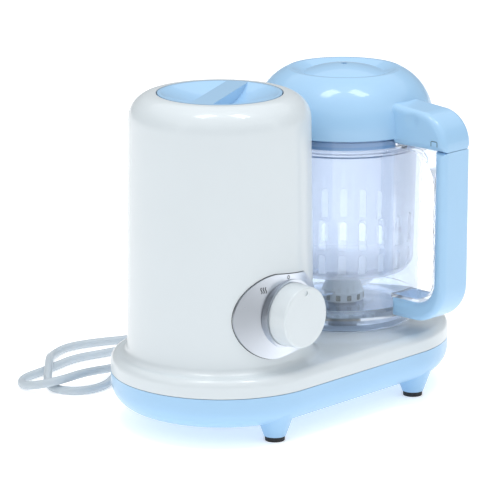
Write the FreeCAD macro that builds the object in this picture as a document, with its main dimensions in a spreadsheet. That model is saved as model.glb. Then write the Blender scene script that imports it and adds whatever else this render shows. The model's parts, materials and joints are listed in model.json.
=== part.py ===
import FreeCAD, Part
import math
import os
import re

import Sketcher
from FreeCAD import Placement, Rotation, Vector

# Countertop steamer and blender for baby food: a boiler tower and a blender jar on one oval base.
# Millimetres, +Z up, front (knob and jar handle) towards -Y, tower towards -X, jar towards +X.
# The origin is on the table under the middle of the body.

doc = FreeCAD.newDocument("baby_food_maker")
sheet = doc.addObject("Spreadsheet::Sheet", "Sizes")

SIZES = {
    # Base and deck
    "axle_span": 130.0,
    "base_half": 142.0,
    "base_radius": 79.0,
    "pad_height": 3.5,
    "pad_radius": 7.3,
    "bowl_floor": 13.0,
    "bowl_round": 18.0,
    "seam_height": 37.9,
    "seam_gap": 0.4,
    "deck_height": 51.0,
    "deck_round": 6.0,
    "shell": 2.5,
    "leg_across": 74.0,
    "leg_depth": 61.0,
    "leg_tip_radius": 7.8,
    "leg_root_radius": 15.5,
    "leg_top": 25.0,
    "screw_radius": 2.0,
    "screw_head_radius": 3.8,
    "screw_head": 3.0,
    "screw_floor": 4.0,
    "thread_gap": 0.05,
    "boss_wall": 2.6,
    "boss_foot": 3.0,
    "vent_length": 40.0,
    "vent_width": 3.0,
    "vent_pitch": 8.0,
    "vent_count": 5,
    # Tower
    "tower_foot_radius": 65.9,
    "tower_top_radius": 63.7,
    "tower_height": 236.6,
    "tower_round": 18.0,
    "tower_wall": 3.0,
    "foot_flare": 5.0,
    # Knob, bezel and switch
    "knob_height": 90.0,
    "knob_radius": 22.3,
    "knob_face_radius": 21.6,
    "knob_depth": 14.6,
    "knob_round": 1.6,
    "knob_recess": 2.6,
    "knob_sweep": 60.0,
    "dimple_radius": 1.7,
    "dimple_depth": 0.8,
    "dimple_inset": 4.2,
    "bezel_half": 29.8,
    "bezel_shift": 11.5,
    "bezel_corner": 17.8,
    "bezel_corner_height": 26.3,
    "bezel_tip": 40.0,
    "bezel_tip_height": 9.0,
    "bezel_thick": 1.2,
    "collar_wall": 1.6,
    "collar_proud": 0.9,
    "switch_side": 27.0,
    "switch_depth": 17.0,
    "switch_bush_radius": 5.0,
    "switch_shaft_radius": 3.0,
    "switch_nut_radius": 8.0,
    "switch_nut_thick": 1.6,
    "running_gap": 0.05,
    "moving_gap": 0.4,
    # Filler neck, cap and boiler
    "cap_radius": 43.4,
    "cap_gap": 1.0,
    "cap_rim": 2.4,
    "cap_dish": 4.2,
    "cap_bowl": 8.5,
    "cap_thick": 2.6,
    "cap_grip_width": 16.0,
    "cap_grip_turn": 26.0,
    "cap_plug_radius": 29.2,
    "cap_plug_length": 16.0,
    "plug_wall": 2.2,
    "gasket_thick": 1.2,
    "gasket_width": 4.0,
    "neck_wall": 3.0,
    "neck_drop": 23.0,
    "neck_flange_radius": 53.0,
    "neck_flange": 2.6,
    "spacer_radius": 3.0,
    "spacer_circle": 47.5,
    "tank_radius": 40.0,
    "tank_height": 57.0,
    "tank_top": 210.0,
    "tank_wall": 1.2,
    "heater_thick": 7.0,
    "heater_inset": 4.0,
    "thermostat_radius": 8.0,
    "thermostat_height": 11.0,
    "steam_height": 201.0,
    "steam_bore": 3.2,
    "steam_tube_wall": 1.8,
    "nozzle_flange": 2.0,
    "nozzle_flange_radius": 8.0,
    "nozzle_proud": 0.5,
    # Motor
    "bracket_height": 56.0,
    "bracket_thick": 3.0,
    "bracket_radius": 56.0,
    "rib_reach": 50.0,
    "rib_width": 9.0,
    "rib_length": 30.0,
    "rib_circle": 53.0,
    "core_side": 52.0,
    "core_height": 26.0,
    "core_lift": 12.0,
    "core_bore": 19.0,
    "coil_thick": 9.0,
    "coil_width": 34.0,
    "air_gap": 0.5,
    "shaft_radius": 4.0,
    "shaft_top": 114.0,
    "shaft_foot": 18.5,
    "commutator_radius": 9.0,
    "commutator_height": 12.0,
    "brush_side": 6.0,
    "brush_length": 16.0,
    "fan_radius": 24.0,
    "fan_height": 7.0,
    "fan_hub_radius": 8.0,
    "fan_blades": 9,
    "fan_blade_thick": 1.4,
    "post_radius": 3.5,
    "bearing_radius": 8.0,
    "bearing_height": 7.0,
    "end_frame_thick": 4.0,
    # Belt drive
    "belt_height": 21.0,
    "belt_width": 7.0,
    "belt_thick": 1.8,
    "small_pulley_radius": 9.0,
    "large_pulley_radius": 27.0,
    "pulley_flange": 1.6,
    "pulley_lip": 3.0,
    "belt_gap": 0.4,
    # Jar drive
    "spindle_radius": 4.0,
    "bush_wall": 3.0,
    "hub_boss_radius": 15.0,
    "hub_boss_rise": 0.6,
    "hub_boss_drop": 12.0,
    "dog_length": 15.0,
    "dog_width": 5.0,
    "dog_height": 3.6,
    "dog_flange": 1.2,
    "dog_flange_radius": 10.0,
    "dog_gap": 0.5,
    "clip_thick": 1.0,
    "clip_radius": 7.0,
    "lip_seal_height": 1.2,
    "lip_seal_width": 3.0,
    # Jar
    "seat_gap": 0.4,
    "jar_foot_radius": 50.0,
    "jar_foot_height": 4.6,
    "jar_low_radius": 57.4,
    "jar_low_height": 66.0,
    "jar_radius": 58.4,
    "jar_wall": 2.5,
    "jar_ledge_height": 181.0,
    "jar_top": 194.4,
    "jar_rim_radius": 60.0,
    "jar_floor_height": 60.5,
    "jar_bush_radius": 9.0,
    "jar_bush_drop": 0.6,
    "blade_shaft_radius": 4.0,
    # Handle
    "handle_reach": 107.5,
    "handle_width": 30.0,
    "handle_thick": 10.0,
    "handle_round": 4.8,
    "handle_bend": 28.0,
    "handle_foot": 64.0,
    "handle_arm": 13.0,
    "handle_top": 190.2,
    "handle_root": 59.2,
    "web_width": 22.0,
    "web_thick": 2.6,
    "web_root": 56.3,
    "web_corner": 25.0,
    "cover_gap": 0.1,
    # Lid
    "lid_gap": 0.4,
    "lid_radius": 64.7,
    "lid_shoulder": 200.0,
    "lid_dome_radius": 39.2,
    "lid_rim_radius": 41.0,
    "lid_top": 236.0,
    "lid_rim_width": 3.0,
    "lid_channel_width": 8.5,
    "lid_channel_depth": 3.0,
    "lid_button_rise": 6.0,
    "lid_wall": 2.6,
    "lid_plug_wall": 2.4,
    "lid_plug_depth": 8.4,
    "lid_seal_height": 3.0,
    "lid_seal_width": 1.6,
    "lid_port_radius": 3.2,
    "lid_vent_radius": 2.2,
    "arm_width": 31.0,
    "arm_top": 220.0,
    "arm_slope": 193.0,
    "arm_nose": 24.0,
    "arm_root": 50.0,
    "arm_round": 5.0,
    # Basket
    "basket_radius": 51.5,
    "basket_top_radius": 53.2,
    "basket_floor": 88.0,
    "basket_round": 11.0,
    "basket_wall": 2.0,
    "basket_flange": 1.8,
    "basket_flange_gap": 0.5,
    "basket_slots": 22,
    "slot_width": 5.6,
    "upper_slot_foot": 112.5,
    "upper_slot_top": 134.5,
    "lower_slot_foot": 94.5,
    "lower_slot_top": 108.8,
    # Blade
    "hub_radius": 15.5,
    "hub_top_radius": 11.0,
    "hub_height": 17.0,
    "hub_gap": 0.8,
    "blade_reach": 34.0,
    "blade_width": 11.0,
    "blade_thick": 1.4,
    "blade_rise": 6.5,
    "socket_radius": 10.5,
    # Safety switch under the jar
    "plunger_radius": 2.4,
    "plunger_length": 13.0,
    "plunger_collar_radius": 4.0,
    "plunger_collar": 2.0,
    "plunger_collar_drop": 4.2,
    "micro_length": 20.0,
    "micro_width": 9.0,
    "micro_height": 10.0,
    "rail_thick": 3.0,
    # Control board
    "board_width": 56.0,
    "board_height": 60.0,
    "board_thick": 1.6,
    "board_depth": 44.0,
    "board_foot": 126.0,
    "relay_width": 18.6,
    "relay_depth": 14.0,
    "relay_height": 17.0,
    "capacitor_radius": 6.2,
    "capacitor_length": 18.6,
    # Mains lead
    "lead_radius": 3.15,
    "relief_length": 20.0,
    "relief_radius": 5.6,
    "relief_tip_radius": 4.0,
    "gland_across": 34.0,
    "gland_height": 24.0,
    "gland_flange": 2.0,
    "gland_flange_radius": 7.0,
    "coil_radius": 38.0,
    "coil_pitch": 6.6,
    "coil_across": 98.0,
    "coil_behind": 140.0,
    "tie_width": 5.0,
    "tie_thick": 0.8,
    "tie_gap": 0.3,
    "plug_length": 36.0,
    "plug_radius": 17.0,
    "plug_neck_radius": 6.0,
    "pin_radius": 2.0,
    "pin_length": 19.0,
    "pin_spacing": 19.0,
    "plug_lift": 17.2,
}

for row, (alias, size) in enumerate(SIZES.items(), start=1):
    cell = "A%d" % row
    sheet.set(cell, str(size))
    sheet.setAlias(cell, alias)
doc.recompute()

WORD = re.compile("[a-z_]+")
TINY = 1e-4


def bind(text):
    """Name the sheet in front of every size in an expression."""
    return WORD.sub(lambda word: "Sizes." + word[0] if word[0] in SIZES else word[0], text)


def number(text):
    """Value of an expression of the sheet's sizes."""
    return float(sheet.evalExpression(bind(text)))


# Where the axes stand
AXIS_Y = "((handle_reach - base_radius) / 2)"
TOWER_X = "(-axle_span / 2)"
JAR_X = "(axle_span / 2)"
TOWER = (TOWER_X, AXIS_Y, "0")
JAR = (JAR_X, AXIS_Y, "0")
BASE = ("0", AXIS_Y, "0")

UPRIGHT = Rotation()
TO_FRONT = Rotation(Vector(1, 0, 0), 90)
TO_BACK = Rotation(Vector(1, 0, 0), -90)
TO_RIGHT = Rotation(Vector(0, 1, 0), 90)
CORNERS = [("", ""), ("", "-"), ("-", ""), ("-", "-")]
QUARTERS = [45, 135, 225, 315]


def raised(spot, height):
    """The same spot in plan, at another height."""
    return (spot[0], spot[1], height)


def place(piece, spot, turn=UPRIGHT):
    """Put a piece at a spot that follows the sizes."""
    piece.Placement = Placement(Vector(*[number(text) for text in spot]), turn)
    for axis, text in zip("xyz", spot):
        piece.setExpression("Placement.Base." + axis, bind(text))
    return piece


def primitive(kind, name, sizes, spot, turn=UPRIGHT):
    piece = doc.addObject("Part::" + kind, name)
    for key, text in sizes.items():
        piece.setExpression(key, bind(text))
    return place(piece, spot, turn)


def rod(name, radius, length, spot, turn=UPRIGHT):
    return primitive("Cylinder", name, {"Radius": radius, "Height": length}, spot, turn)


def cone(name, low, high, length, spot, turn=UPRIGHT):
    return primitive("Cone", name, {"Radius1": low, "Radius2": high, "Height": length}, spot, turn)


def block(name, across, deep, tall, spot):
    """Box whose spot is the middle of its underside."""
    middle = ("%s - (%s) / 2" % (spot[0], across), "%s - (%s) / 2" % (spot[1], deep), spot[2])
    return primitive("Box", name, {"Length": across, "Width": deep, "Height": tall}, middle)


def around(name, make, circle, spot, height):
    """Four pieces on a circle, on the diagonals."""
    pieces = []
    for angle in QUARTERS:
        across = "%s + (%s) * cos(%d deg)" % (spot[0], circle, angle)
        deep = "%s + (%s) * sin(%d deg)" % (spot[1], circle, angle)
        pieces.append(make("%s_%d" % (name, angle), (across, deep, height)))
    return pieces


def fuse(name, pieces):
    joined = doc.addObject("Part::MultiFuse", name)
    joined.Shapes = pieces
    return joined


def cut(name, base, tools):
    carved = doc.addObject("Part::Cut", name)
    carved.Base = base
    carved.Tool = tools[0] if len(tools) == 1 else fuse(name + "_tools", tools)
    return carved


def common(name, pieces):
    shared = doc.addObject("Part::MultiCommon", name)
    shared.Shapes = pieces
    return shared


def group(name, pieces):
    gathered = doc.addObject("Part::Compound", name)
    gathered.Links = pieces
    return gathered


def arc(start, end, radius, turn):
    """Minor arc between two points that bends to the left or the right."""
    chord = end - start
    rise = math.sqrt(max(radius ** 2 - chord.Length ** 2 / 4, 0))
    side = Vector(-chord.y, chord.x, 0).normalize()
    centre = (start + end) / 2 + side * (rise if turn == "left" else -rise)
    first, last = (start, end) if turn == "left" else (end, start)
    angles = [math.atan2(spot.y - centre.y, spot.x - centre.x) for spot in (first, last)]
    return Part.ArcOfCircle(Part.Circle(centre, Vector(0, 0, 1), radius), *angles)


def sketch(piece, name, role, outline):
    """Closed outline of points (across, up); a radius and a turn after them make an arc to the next."""
    plane = next(feature for feature in piece.Origin.OriginFeatures if feature.Role == role)
    drawing = piece.newObject("Sketcher::SketchObject", name)
    drawing.AttachmentSupport = (plane, [""])
    drawing.MapMode = "FlatFace"
    spots = [Vector(number(point[0]), number(point[1]), 0) for point in outline]
    starts = []
    ends = []
    for index, point in enumerate(outline):
        start = spots[index]
        end = spots[(index + 1) % len(spots)]
        if len(point) == 2:
            drawing.addGeometry(Part.LineSegment(start, end), False)
        else:
            drawing.addGeometry(arc(start, end, number(point[2]), point[3]), False)
        forward = len(point) == 2 or point[3] == "left"
        starts.append(1 if forward else 2)
        ends.append(2 if forward else 1)

    def hold(kind, text, *where):
        index = drawing.addConstraint(Sketcher.Constraint(kind, *where, number(text)))
        drawing.setExpression("Constraints[%d]" % index, bind(text))

    for index, point in enumerate(outline):
        after = (index + 1) % len(outline)
        drawing.addConstraint(Sketcher.Constraint("Coincident", index, ends[index], after, starts[after]))
    for index, point in enumerate(outline):
        hold("DistanceX", point[0], -1, 1, index, starts[index])
        hold("DistanceY", point[1], -1, 1, index, starts[index])
        if len(point) > 2:
            hold("Radius", point[2], index)
    return drawing


def turned(name, outline, spot, turn=UPRIGHT):
    """Body of revolution from an outline of (radius, height) points."""
    piece = doc.addObject("PartDesign::Body", name)
    drawing = sketch(piece, name + "_outline", "XZ_Plane", outline)
    spin = piece.newObject("PartDesign::Revolution", name + "_turned")
    spin.Profile = drawing
    spin.ReferenceAxis = (drawing, ["V_Axis"])
    spin.Angle = 360
    return place(piece, spot, turn)


def padded(name, role, outline, length, spot, both_ways=False):
    """Straight body from an outline on one of its own planes."""
    piece = doc.addObject("PartDesign::Body", name)
    pad = piece.newObject("PartDesign::Pad", name + "_pad")
    pad.Profile = sketch(piece, name + "_outline", role, outline)
    pad.setExpression("Length", bind(length))
    if both_ways:
        pad.SideType = "Symmetric"
    return place(piece, spot)


def soften(piece, radius, wanted):
    """Round the edges of a body whose boxes are wanted."""
    doc.recompute()
    tip = piece.Tip
    names = ["Edge%d" % index for index, edge in enumerate(tip.Shape.Edges, start=1) if wanted(edge.BoundBox)]
    fillet = piece.newObject("PartDesign::Fillet", piece.Name + "_softened")
    fillet.Base = (tip, names)
    fillet.setExpression("Radius", bind(radius))
    return piece


def at_level(text):
    """Chooser of the edges at one height of a body's own frame."""
    level = number(text)
    return lambda box: max(abs(box.ZMin - level), abs(box.ZMax - level)) < TINY


def on_sides(box):
    """Chooser of the edges along a body's two side faces."""
    return box.XLength < TINY and abs(box.XMin) > TINY


def tube(inner, outer, low, high):
    """Outline of a plain ring."""
    return [(inner, low), (outer, low), (outer, high), (inner, high)]


def oval(inset):
    """Outline of the base, drawn in by an inset."""
    middle = "(base_half - base_radius)"
    radius = "(base_radius - (%s))" % inset
    return [
        (middle, "-" + radius, radius, "left"),
        ("%s + %s" % (middle, radius), "0", radius, "left"),
        (middle, radius),
        ("-" + middle, radius, radius, "left"),
        ("-%s - %s" % (middle, radius), "0", radius, "left"),
        ("-" + middle, "-" + radius),
    ]


def tower_at(height):
    """Outside radius of the tower's slightly tapered wall at a height."""
    low = "(deck_height + foot_flare)"
    high = "(tower_height - tower_round)"
    share = "((%s - %s) / (%s - %s))" % (height, low, high, low)
    return "(tower_foot_radius + (tower_top_radius - tower_foot_radius) * %s)" % share


def corner_spots(height):
    """The four leg positions at a height."""
    return [
        ("%sleg_across" % across, "%s + (%sleg_depth)" % (AXIS_Y, deep), height)
        for across, deep in CORNERS
    ]


# Upper housing: tower and deck in one moulding
tower_skin = turned("tower_skin", [
    ("0", "seam_height"),
    ("tower_foot_radius + foot_flare", "seam_height"),
    ("tower_foot_radius + foot_flare", "deck_height", "foot_flare", "right"),
    ("tower_foot_radius", "deck_height + foot_flare"),
    ("tower_top_radius", "tower_height - tower_round", "tower_round", "left"),
    ("tower_top_radius - tower_round", "tower_height"),
    ("0", "tower_height"),
], TOWER)
tower_hollow = turned("tower_hollow", [
    ("0", "seam_height - shell"),
    ("tower_foot_radius - tower_wall", "seam_height - shell"),
    ("tower_foot_radius - tower_wall", "deck_height + foot_flare"),
    ("tower_top_radius - tower_wall", "tower_height - tower_round", "tower_round - tower_wall", "left"),
    ("tower_top_radius - tower_round", "tower_height - tower_wall"),
    ("0", "tower_height - tower_wall"),
], TOWER)
deck_skin = padded("deck_skin", "XY_Plane", oval("0"), "deck_height - seam_height",
                   raised(BASE, "seam_height"))
soften(deck_skin, "deck_round", at_level("deck_height - seam_height"))
deck_hollow = padded("deck_hollow", "XY_Plane", oval("shell"), "deck_height - seam_height",
                     raised(BASE, "seam_height - shell"))

BOSS_FOOT = "(bowl_floor + shell + boss_foot)"
bosses = [
    rod("boss_%d" % index, "screw_radius + boss_wall", "deck_height - shell / 2 - " + BOSS_FOOT, spot)
    for index, spot in enumerate(corner_spots(BOSS_FOOT))
]

# Filler opening and the pieces that hang under it
CAP_FLOOR = "(tower_height - cap_dish - cap_thick)"
NECK_TOP = "(%s - gasket_thick - cover_gap)" % CAP_FLOOR
NECK_FLOOR = "(%s - neck_flange)" % NECK_TOP
NECK_BORE = "(cap_plug_radius + 2 * moving_gap)"
TANK_FOOT = "(tank_top - tank_height)"
neck_posts = around(
    "neck_post",
    lambda name, spot: rod(name, "spacer_radius", "tower_height - tower_wall / 2 - " + NECK_TOP, spot),
    "spacer_circle", TOWER, NECK_TOP)

# Ribs that carry the motor bracket
RIB_FOOT = "(bracket_height + bracket_thick)"
ribs = around("rib", lambda name, spot: rod(name, "rib_width / 2", "rib_length", spot), "rib_circle",
              TOWER, RIB_FOOT)
rib_webs = []
for angle in QUARTERS:
    web = primitive("Box", "rib_web_%d" % angle, {
        "Length": "tower_foot_radius - tower_wall / 2 - rib_circle",
        "Width": "rib_width / 2",
        "Height": "rib_length",
    }, BASE)
    across = "%s + rib_circle * cos(%d deg) + rib_width / 4 * sin(%d deg)" % (TOWER_X, angle, angle)
    deep = "%s + rib_circle * sin(%d deg) - rib_width / 4 * cos(%d deg)" % (AXIS_Y, angle, angle)
    place(web, (across, deep, RIB_FOOT), Rotation(Vector(0, 0, 1), angle))
    rib_webs.append(web)

# Rails for the control board and the safety switch
BOARD_Y = "(%s + board_depth)" % AXIS_Y
RAIL = "(sqrt((tower_top_radius - tower_wall / 2)^2 - (board_depth + board_thick)^2) - board_width / 2)"
board_rails = [
    block("board_rail_%s" % name, RAIL, "2 * board_thick", "board_height",
          ("%s %s (board_width + %s) / 2" % (TOWER_X, sign, RAIL), BOARD_Y, "board_foot"))
    for name, sign in (("left", "-"), ("right", "+"))
]
FOOT_RING = "(jar_foot_radius - jar_wall / 2)"
PLUNGER = (JAR_X, "%s + %s" % (AXIS_Y, FOOT_RING), "0")
PLUNGER_TOP = "(deck_height + seat_gap / 2)"
MICRO_TOP = "(%s - plunger_length - seat_gap)" % PLUNGER_TOP
MICRO_FOOT = "(%s - micro_height)" % MICRO_TOP
switch_rails = [
    block("switch_rail_%s" % name, "rail_thick", "micro_width", "deck_height - shell / 2 - " + MICRO_FOOT,
          ("%s %s (micro_length + rail_thick) / 2" % (JAR_X, sign), PLUNGER[1], MICRO_FOOT))
    for name, sign in (("left", "-"), ("right", "+"))
]

# Upper housing put together, with its holes
HUB_TOP = "(deck_height + hub_boss_rise)"
HUB_FOOT = "(deck_height - hub_boss_drop)"
BUSH_RADIUS = "(spindle_radius + bush_wall)"
hub_boss = rod("hub_boss", "hub_boss_radius", "hub_boss_rise + hub_boss_drop", raised(JAR, HUB_FOOT))
housing_shell = cut("housing_shell", fuse("housing_skin", [tower_skin, deck_skin]),
                    [tower_hollow, deck_hollow])
housing_whole = fuse("housing_whole", [housing_shell, hub_boss] + bosses + neck_posts + ribs + rib_webs
                     + board_rails + switch_rails)
WALL_X = "(%s + %s)" % (TOWER_X, tower_at("steam_height"))
WALL_Y = "(%s - %s)" % (AXIS_Y, tower_at("knob_height"))
NOZZLE_RADIUS = "(steam_bore + steam_tube_wall)"
housing_holes = [
    rod("cap_hole", "cap_radius + cap_gap", "2 * tower_wall",
        raised(TOWER, "tower_height - 1.5 * tower_wall")),
    rod("spindle_hole", BUSH_RADIUS, "2 * hub_boss_drop", raised(JAR, HUB_FOOT + " - shell")),
    rod("plunger_hole", "plunger_radius + running_gap", "3 * shell",
        raised(PLUNGER, "deck_height - 2 * shell")),
    rod("nozzle_hole", NOZZLE_RADIUS + " + thread_gap", "3 * tower_wall",
        (WALL_X + " - 2 * tower_wall", AXIS_Y, "steam_height"), TO_RIGHT),
    rod("knob_hole", "switch_bush_radius + thread_gap", "3 * tower_wall",
        (TOWER_X, WALL_Y + " + 2 * tower_wall", "knob_height"), TO_FRONT),
]
housing_holes += [
    rod("boss_hole_%d" % index, "screw_radius + thread_gap", "seam_height - " + BOSS_FOOT, spot)
    for index, spot in enumerate(corner_spots(BOSS_FOOT))
]
housing_holes += around(
    "rib_hole", lambda name, spot: rod(name, "screw_radius + thread_gap", "rib_length / 2", spot),
    "rib_circle", TOWER, RIB_FOOT)
upper_housing = cut("upper_housing", housing_whole, housing_holes)

# Bottom cover: the bowl with four legs
bowl = padded("bowl", "XY_Plane", oval("0"), "seam_height - seam_gap - bowl_floor",
              raised(BASE, "bowl_floor"))
soften(bowl, "bowl_round", at_level("0"))
bowl_hollow = padded("bowl_hollow", "XY_Plane", oval("shell"), "seam_height - bowl_floor",
                     raised(BASE, "bowl_floor + shell"))
soften(bowl_hollow, "bowl_round - shell", at_level("0"))
legs = [
    cone("leg_%d" % index, "leg_tip_radius", "leg_root_radius", "leg_top - pad_height", spot)
    for index, spot in enumerate(corner_spots("pad_height"))
]
SCREW_SEAT = "(bowl_floor + shell - screw_floor)"
cover_holes = [bowl_hollow]
for index, spot in enumerate(corner_spots("pad_height")):
    cover_holes.append(rod("screw_well_%d" % index, "screw_head_radius + moving_gap",
                           SCREW_SEAT + " - pad_height", spot))
    cover_holes.append(rod("screw_hole_%d" % index, "screw_radius + thread_gap", "leg_top", spot))
for index in range(int(number("vent_count"))):
    shift = "(%d - (vent_count - 1) / 2) * vent_pitch" % index
    cover_holes.append(block("vent_%d" % index, "vent_width", "vent_length", "3 * shell",
                             ("%s + %s" % (TOWER_X, shift), AXIS_Y, "bowl_floor - shell")))
GLAND = ("-gland_across", "%s + base_radius" % AXIS_Y, "gland_height")
FLANGE_DROP = "(bowl_floor + bowl_round - gland_height + gland_flange_radius)"
FLANGE_BACK = "(sqrt((bowl_round - shell)^2 - %s^2) - bowl_round - seat_gap)" % FLANGE_DROP
cover_holes.append(rod("gland_hole", "relief_radius + thread_gap", "bowl_round",
                       ("-gland_across", "%s + %s" % (GLAND[1], FLANGE_BACK), "gland_height"), TO_BACK))
bottom_cover = cut("bottom_cover", fuse("bowl_on_legs", [bowl] + legs), cover_holes)

foot_pads = group("foot_pads", [
    cone("pad_%d" % index, "pad_radius - seam_gap", "pad_radius", "pad_height", spot)
    for index, spot in enumerate(corner_spots("0"))
])
cover_screws = group("cover_screws", [
    fuse("cover_screw_%d" % index, [
        rod("screw_head_%d" % index, "screw_head_radius", "screw_head",
            raised(spot, SCREW_SEAT + " - screw_head")),
        rod("screw_shank_%d" % index, "screw_radius", "seam_height - 2 * seam_gap - " + SCREW_SEAT,
            raised(spot, SCREW_SEAT)),
    ])
    for index, spot in enumerate(corner_spots("0"))
])

# Bezel, knob and the rotary switch behind it
LOW = "(knob_height - bezel_half - bezel_thick)"
TALL = "(2 * bezel_half + 2 * bezel_thick)"
HIGH = "(%s + %s)" % (LOW, TALL)
bezel_band = cut(
    "bezel_band",
    cone("bezel_outside", tower_at(LOW) + " + bezel_thick", tower_at(HIGH) + " + bezel_thick", TALL,
         raised(TOWER, LOW)),
    [cone("bezel_inside", tower_at(LOW) + " + cover_gap", tower_at(HIGH) + " + cover_gap", TALL,
          raised(TOWER, LOW))])
bezel_plan = padded("bezel_plan", "XZ_Plane", [
    ("-bezel_shift", "bezel_half", "bezel_half", "left"),
    ("-bezel_shift - bezel_half", "0", "bezel_half", "left"),
    ("-bezel_shift", "-bezel_half"),
    ("bezel_corner", "-bezel_corner_height"),
    ("bezel_tip", "-bezel_tip_height"),
    ("bezel_tip", "bezel_tip_height"),
    ("bezel_corner", "bezel_corner_height"),
], "2 * (tower_foot_radius + bezel_thick)", (TOWER_X, AXIS_Y, "knob_height"), True)
front_half = block("front_half", "2 * tower_foot_radius", "2 * tower_foot_radius", "tower_height",
                   (TOWER_X, AXIS_Y + " - tower_foot_radius", "0"))
BEZEL_FACE = "(%s - bezel_thick)" % WALL_Y
COLLAR_RADIUS = "(knob_radius + moving_gap + collar_wall)"
collar = rod("bezel_collar", COLLAR_RADIUS, "tower_wall + bezel_thick + collar_proud",
             (TOWER_X, WALL_Y + " + tower_wall", "knob_height"), TO_FRONT)
collar_seat = cone("collar_seat", tower_at(LOW) + " + cover_gap", tower_at(HIGH) + " + cover_gap", TALL,
                   raised(TOWER, LOW))
knob_bezel = cut("knob_bezel",
                 fuse("bezel_plate", [common("bezel_sheet", [bezel_band, bezel_plan, front_half]), collar]), [
    collar_seat,
    rod("collar_bore", "knob_radius + moving_gap", "tower_wall", (TOWER_X, BEZEL_FACE, "knob_height"),
        TO_FRONT),
    rod("nut_bore", "switch_nut_radius + moving_gap", "4 * tower_wall",
        (TOWER_X, WALL_Y + " + 2 * tower_wall", "knob_height"), TO_FRONT),
])
KNOB_BACK = "(%s - moving_gap)" % BEZEL_FACE
KNOB = (TOWER_X, KNOB_BACK, "knob_height")
knob_shape = turned("knob_shape", [
    ("0", "knob_recess"),
    ("switch_nut_radius + 2 * moving_gap", "knob_recess"),
    ("switch_nut_radius + 2 * moving_gap", "0"),
    ("knob_radius", "0"),
    ("knob_face_radius", "knob_depth - knob_round", "knob_round", "left"),
    ("knob_face_radius - knob_round", "knob_depth"),
    ("0", "knob_depth"),
], KNOB, TO_FRONT)
SHAFT_END = "(knob_depth - 2 * knob_recess)"
SHAFT_ROOT = "(%s + tower_wall + bezel_thick + moving_gap + switch_depth)" % KNOB_BACK
SHAFT_LENGTH = "(%s - %s + %s)" % (SHAFT_ROOT, KNOB_BACK, SHAFT_END)
control_knob = cut("control_knob", knob_shape, [
    rod("knob_bore", "switch_shaft_radius", SHAFT_END, KNOB, TO_FRONT),
    rod("knob_dimple", "dimple_radius", "2 * dimple_depth",
        (TOWER_X, KNOB_BACK + " - knob_depth + dimple_depth",
         "knob_height + knob_face_radius - dimple_inset"), TO_FRONT),
])
knob_shaft = rod("knob_shaft", "switch_shaft_radius", SHAFT_LENGTH, (TOWER_X, SHAFT_ROOT, "knob_height"),
                 TO_FRONT)
SWITCH_WALL = "(%s - tower_wall)" % tower_at("(knob_height + switch_side / 2)")
SWITCH_FACE = "(%s - sqrt(%s^2 - switch_side^2 / 4) + seat_gap)" % (AXIS_Y, SWITCH_WALL)
NUT_SEAT = "(%s - %s - running_gap)" % (AXIS_Y, tower_at("(knob_height - switch_nut_radius)"))
switch_body = block("switch_body", "switch_side", "switch_depth", "switch_side",
                    (TOWER_X, SWITCH_FACE + " + switch_depth / 2",
                     "knob_height - switch_side / 2"))
switch_bush = rod("switch_bush", "switch_bush_radius", "%s - %s + switch_nut_thick" % (SWITCH_FACE, NUT_SEAT),
                  (TOWER_X, SWITCH_FACE, "knob_height"), TO_FRONT)
rotary_switch = cut("rotary_switch", fuse("switch_whole", [switch_body, switch_bush]), [
    rod("switch_bore", "switch_shaft_radius + running_gap", "2 * switch_depth",
        (TOWER_X, SHAFT_ROOT + " + moving_gap", "knob_height"), TO_FRONT),
])
switch_nut = turned("switch_nut", tube("switch_bush_radius", "switch_nut_radius", "0", "switch_nut_thick"),
                    (TOWER_X, NUT_SEAT, "knob_height"), TO_FRONT)

# Water filler, boiler and steam outlet
filler_neck = turned("filler_neck", [
    (NECK_BORE, NECK_TOP + " - neck_drop"),
    (NECK_BORE + " + neck_wall", NECK_TOP + " - neck_drop"),
    (NECK_BORE + " + neck_wall", NECK_FLOOR),
    ("neck_flange_radius", NECK_FLOOR),
    ("neck_flange_radius", NECK_TOP),
    (NECK_BORE, NECK_TOP),
], TOWER)
tank_spacers = group("tank_spacers", around(
    "tank_spacer", lambda name, spot: rod(name, "spacer_radius", NECK_FLOOR + " - tank_top", spot),
    "spacer_circle", TOWER, "tank_top"))
tank_shape = turned("tank_shape", [
    ("0", TANK_FOOT),
    ("tank_radius", TANK_FOOT),
    ("tank_radius", "tank_top - tank_wall"),
    ("spacer_circle + 1.5 * spacer_radius", "tank_top - tank_wall"),
    ("spacer_circle + 1.5 * spacer_radius", "tank_top"),
    (NECK_BORE + " + neck_wall + moving_gap", "tank_top"),
    (NECK_BORE + " + neck_wall + moving_gap", "tank_top - tank_wall"),
    ("tank_radius - tank_wall", "tank_top - tank_wall"),
    ("tank_radius - tank_wall", TANK_FOOT + " + tank_wall"),
    ("0", TANK_FOOT + " + tank_wall"),
], TOWER)
TUBE_START = "(%s + tank_radius - 2 * tank_wall)" % TOWER_X
NOZZLE_BACK = "(%s - tower_wall - nozzle_flange_radius^2 / tower_foot_radius - nozzle_flange)" % WALL_X
boiler_tank = cut("boiler_tank", tank_shape, [
    rod("tank_outlet", NOZZLE_RADIUS, "4 * tank_wall",
        (TUBE_START + " - tank_wall", AXIS_Y, "steam_height"), TO_RIGHT),
])
neck_gasket = turned("neck_gasket", tube(NECK_BORE + " + neck_wall + running_gap",
                     NECK_BORE + " + neck_wall + gasket_width", "tank_top",
                     "tank_top + 2 * gasket_thick"), TOWER)
heater_plate = rod("heater_plate", "tank_radius - heater_inset", "heater_thick",
                   raised(TOWER, TANK_FOOT + " - heater_thick"))
thermostat = rod("thermostat", "thermostat_radius", "thermostat_height",
                 raised(TOWER, TANK_FOOT + " - heater_thick - thermostat_height"))
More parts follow.
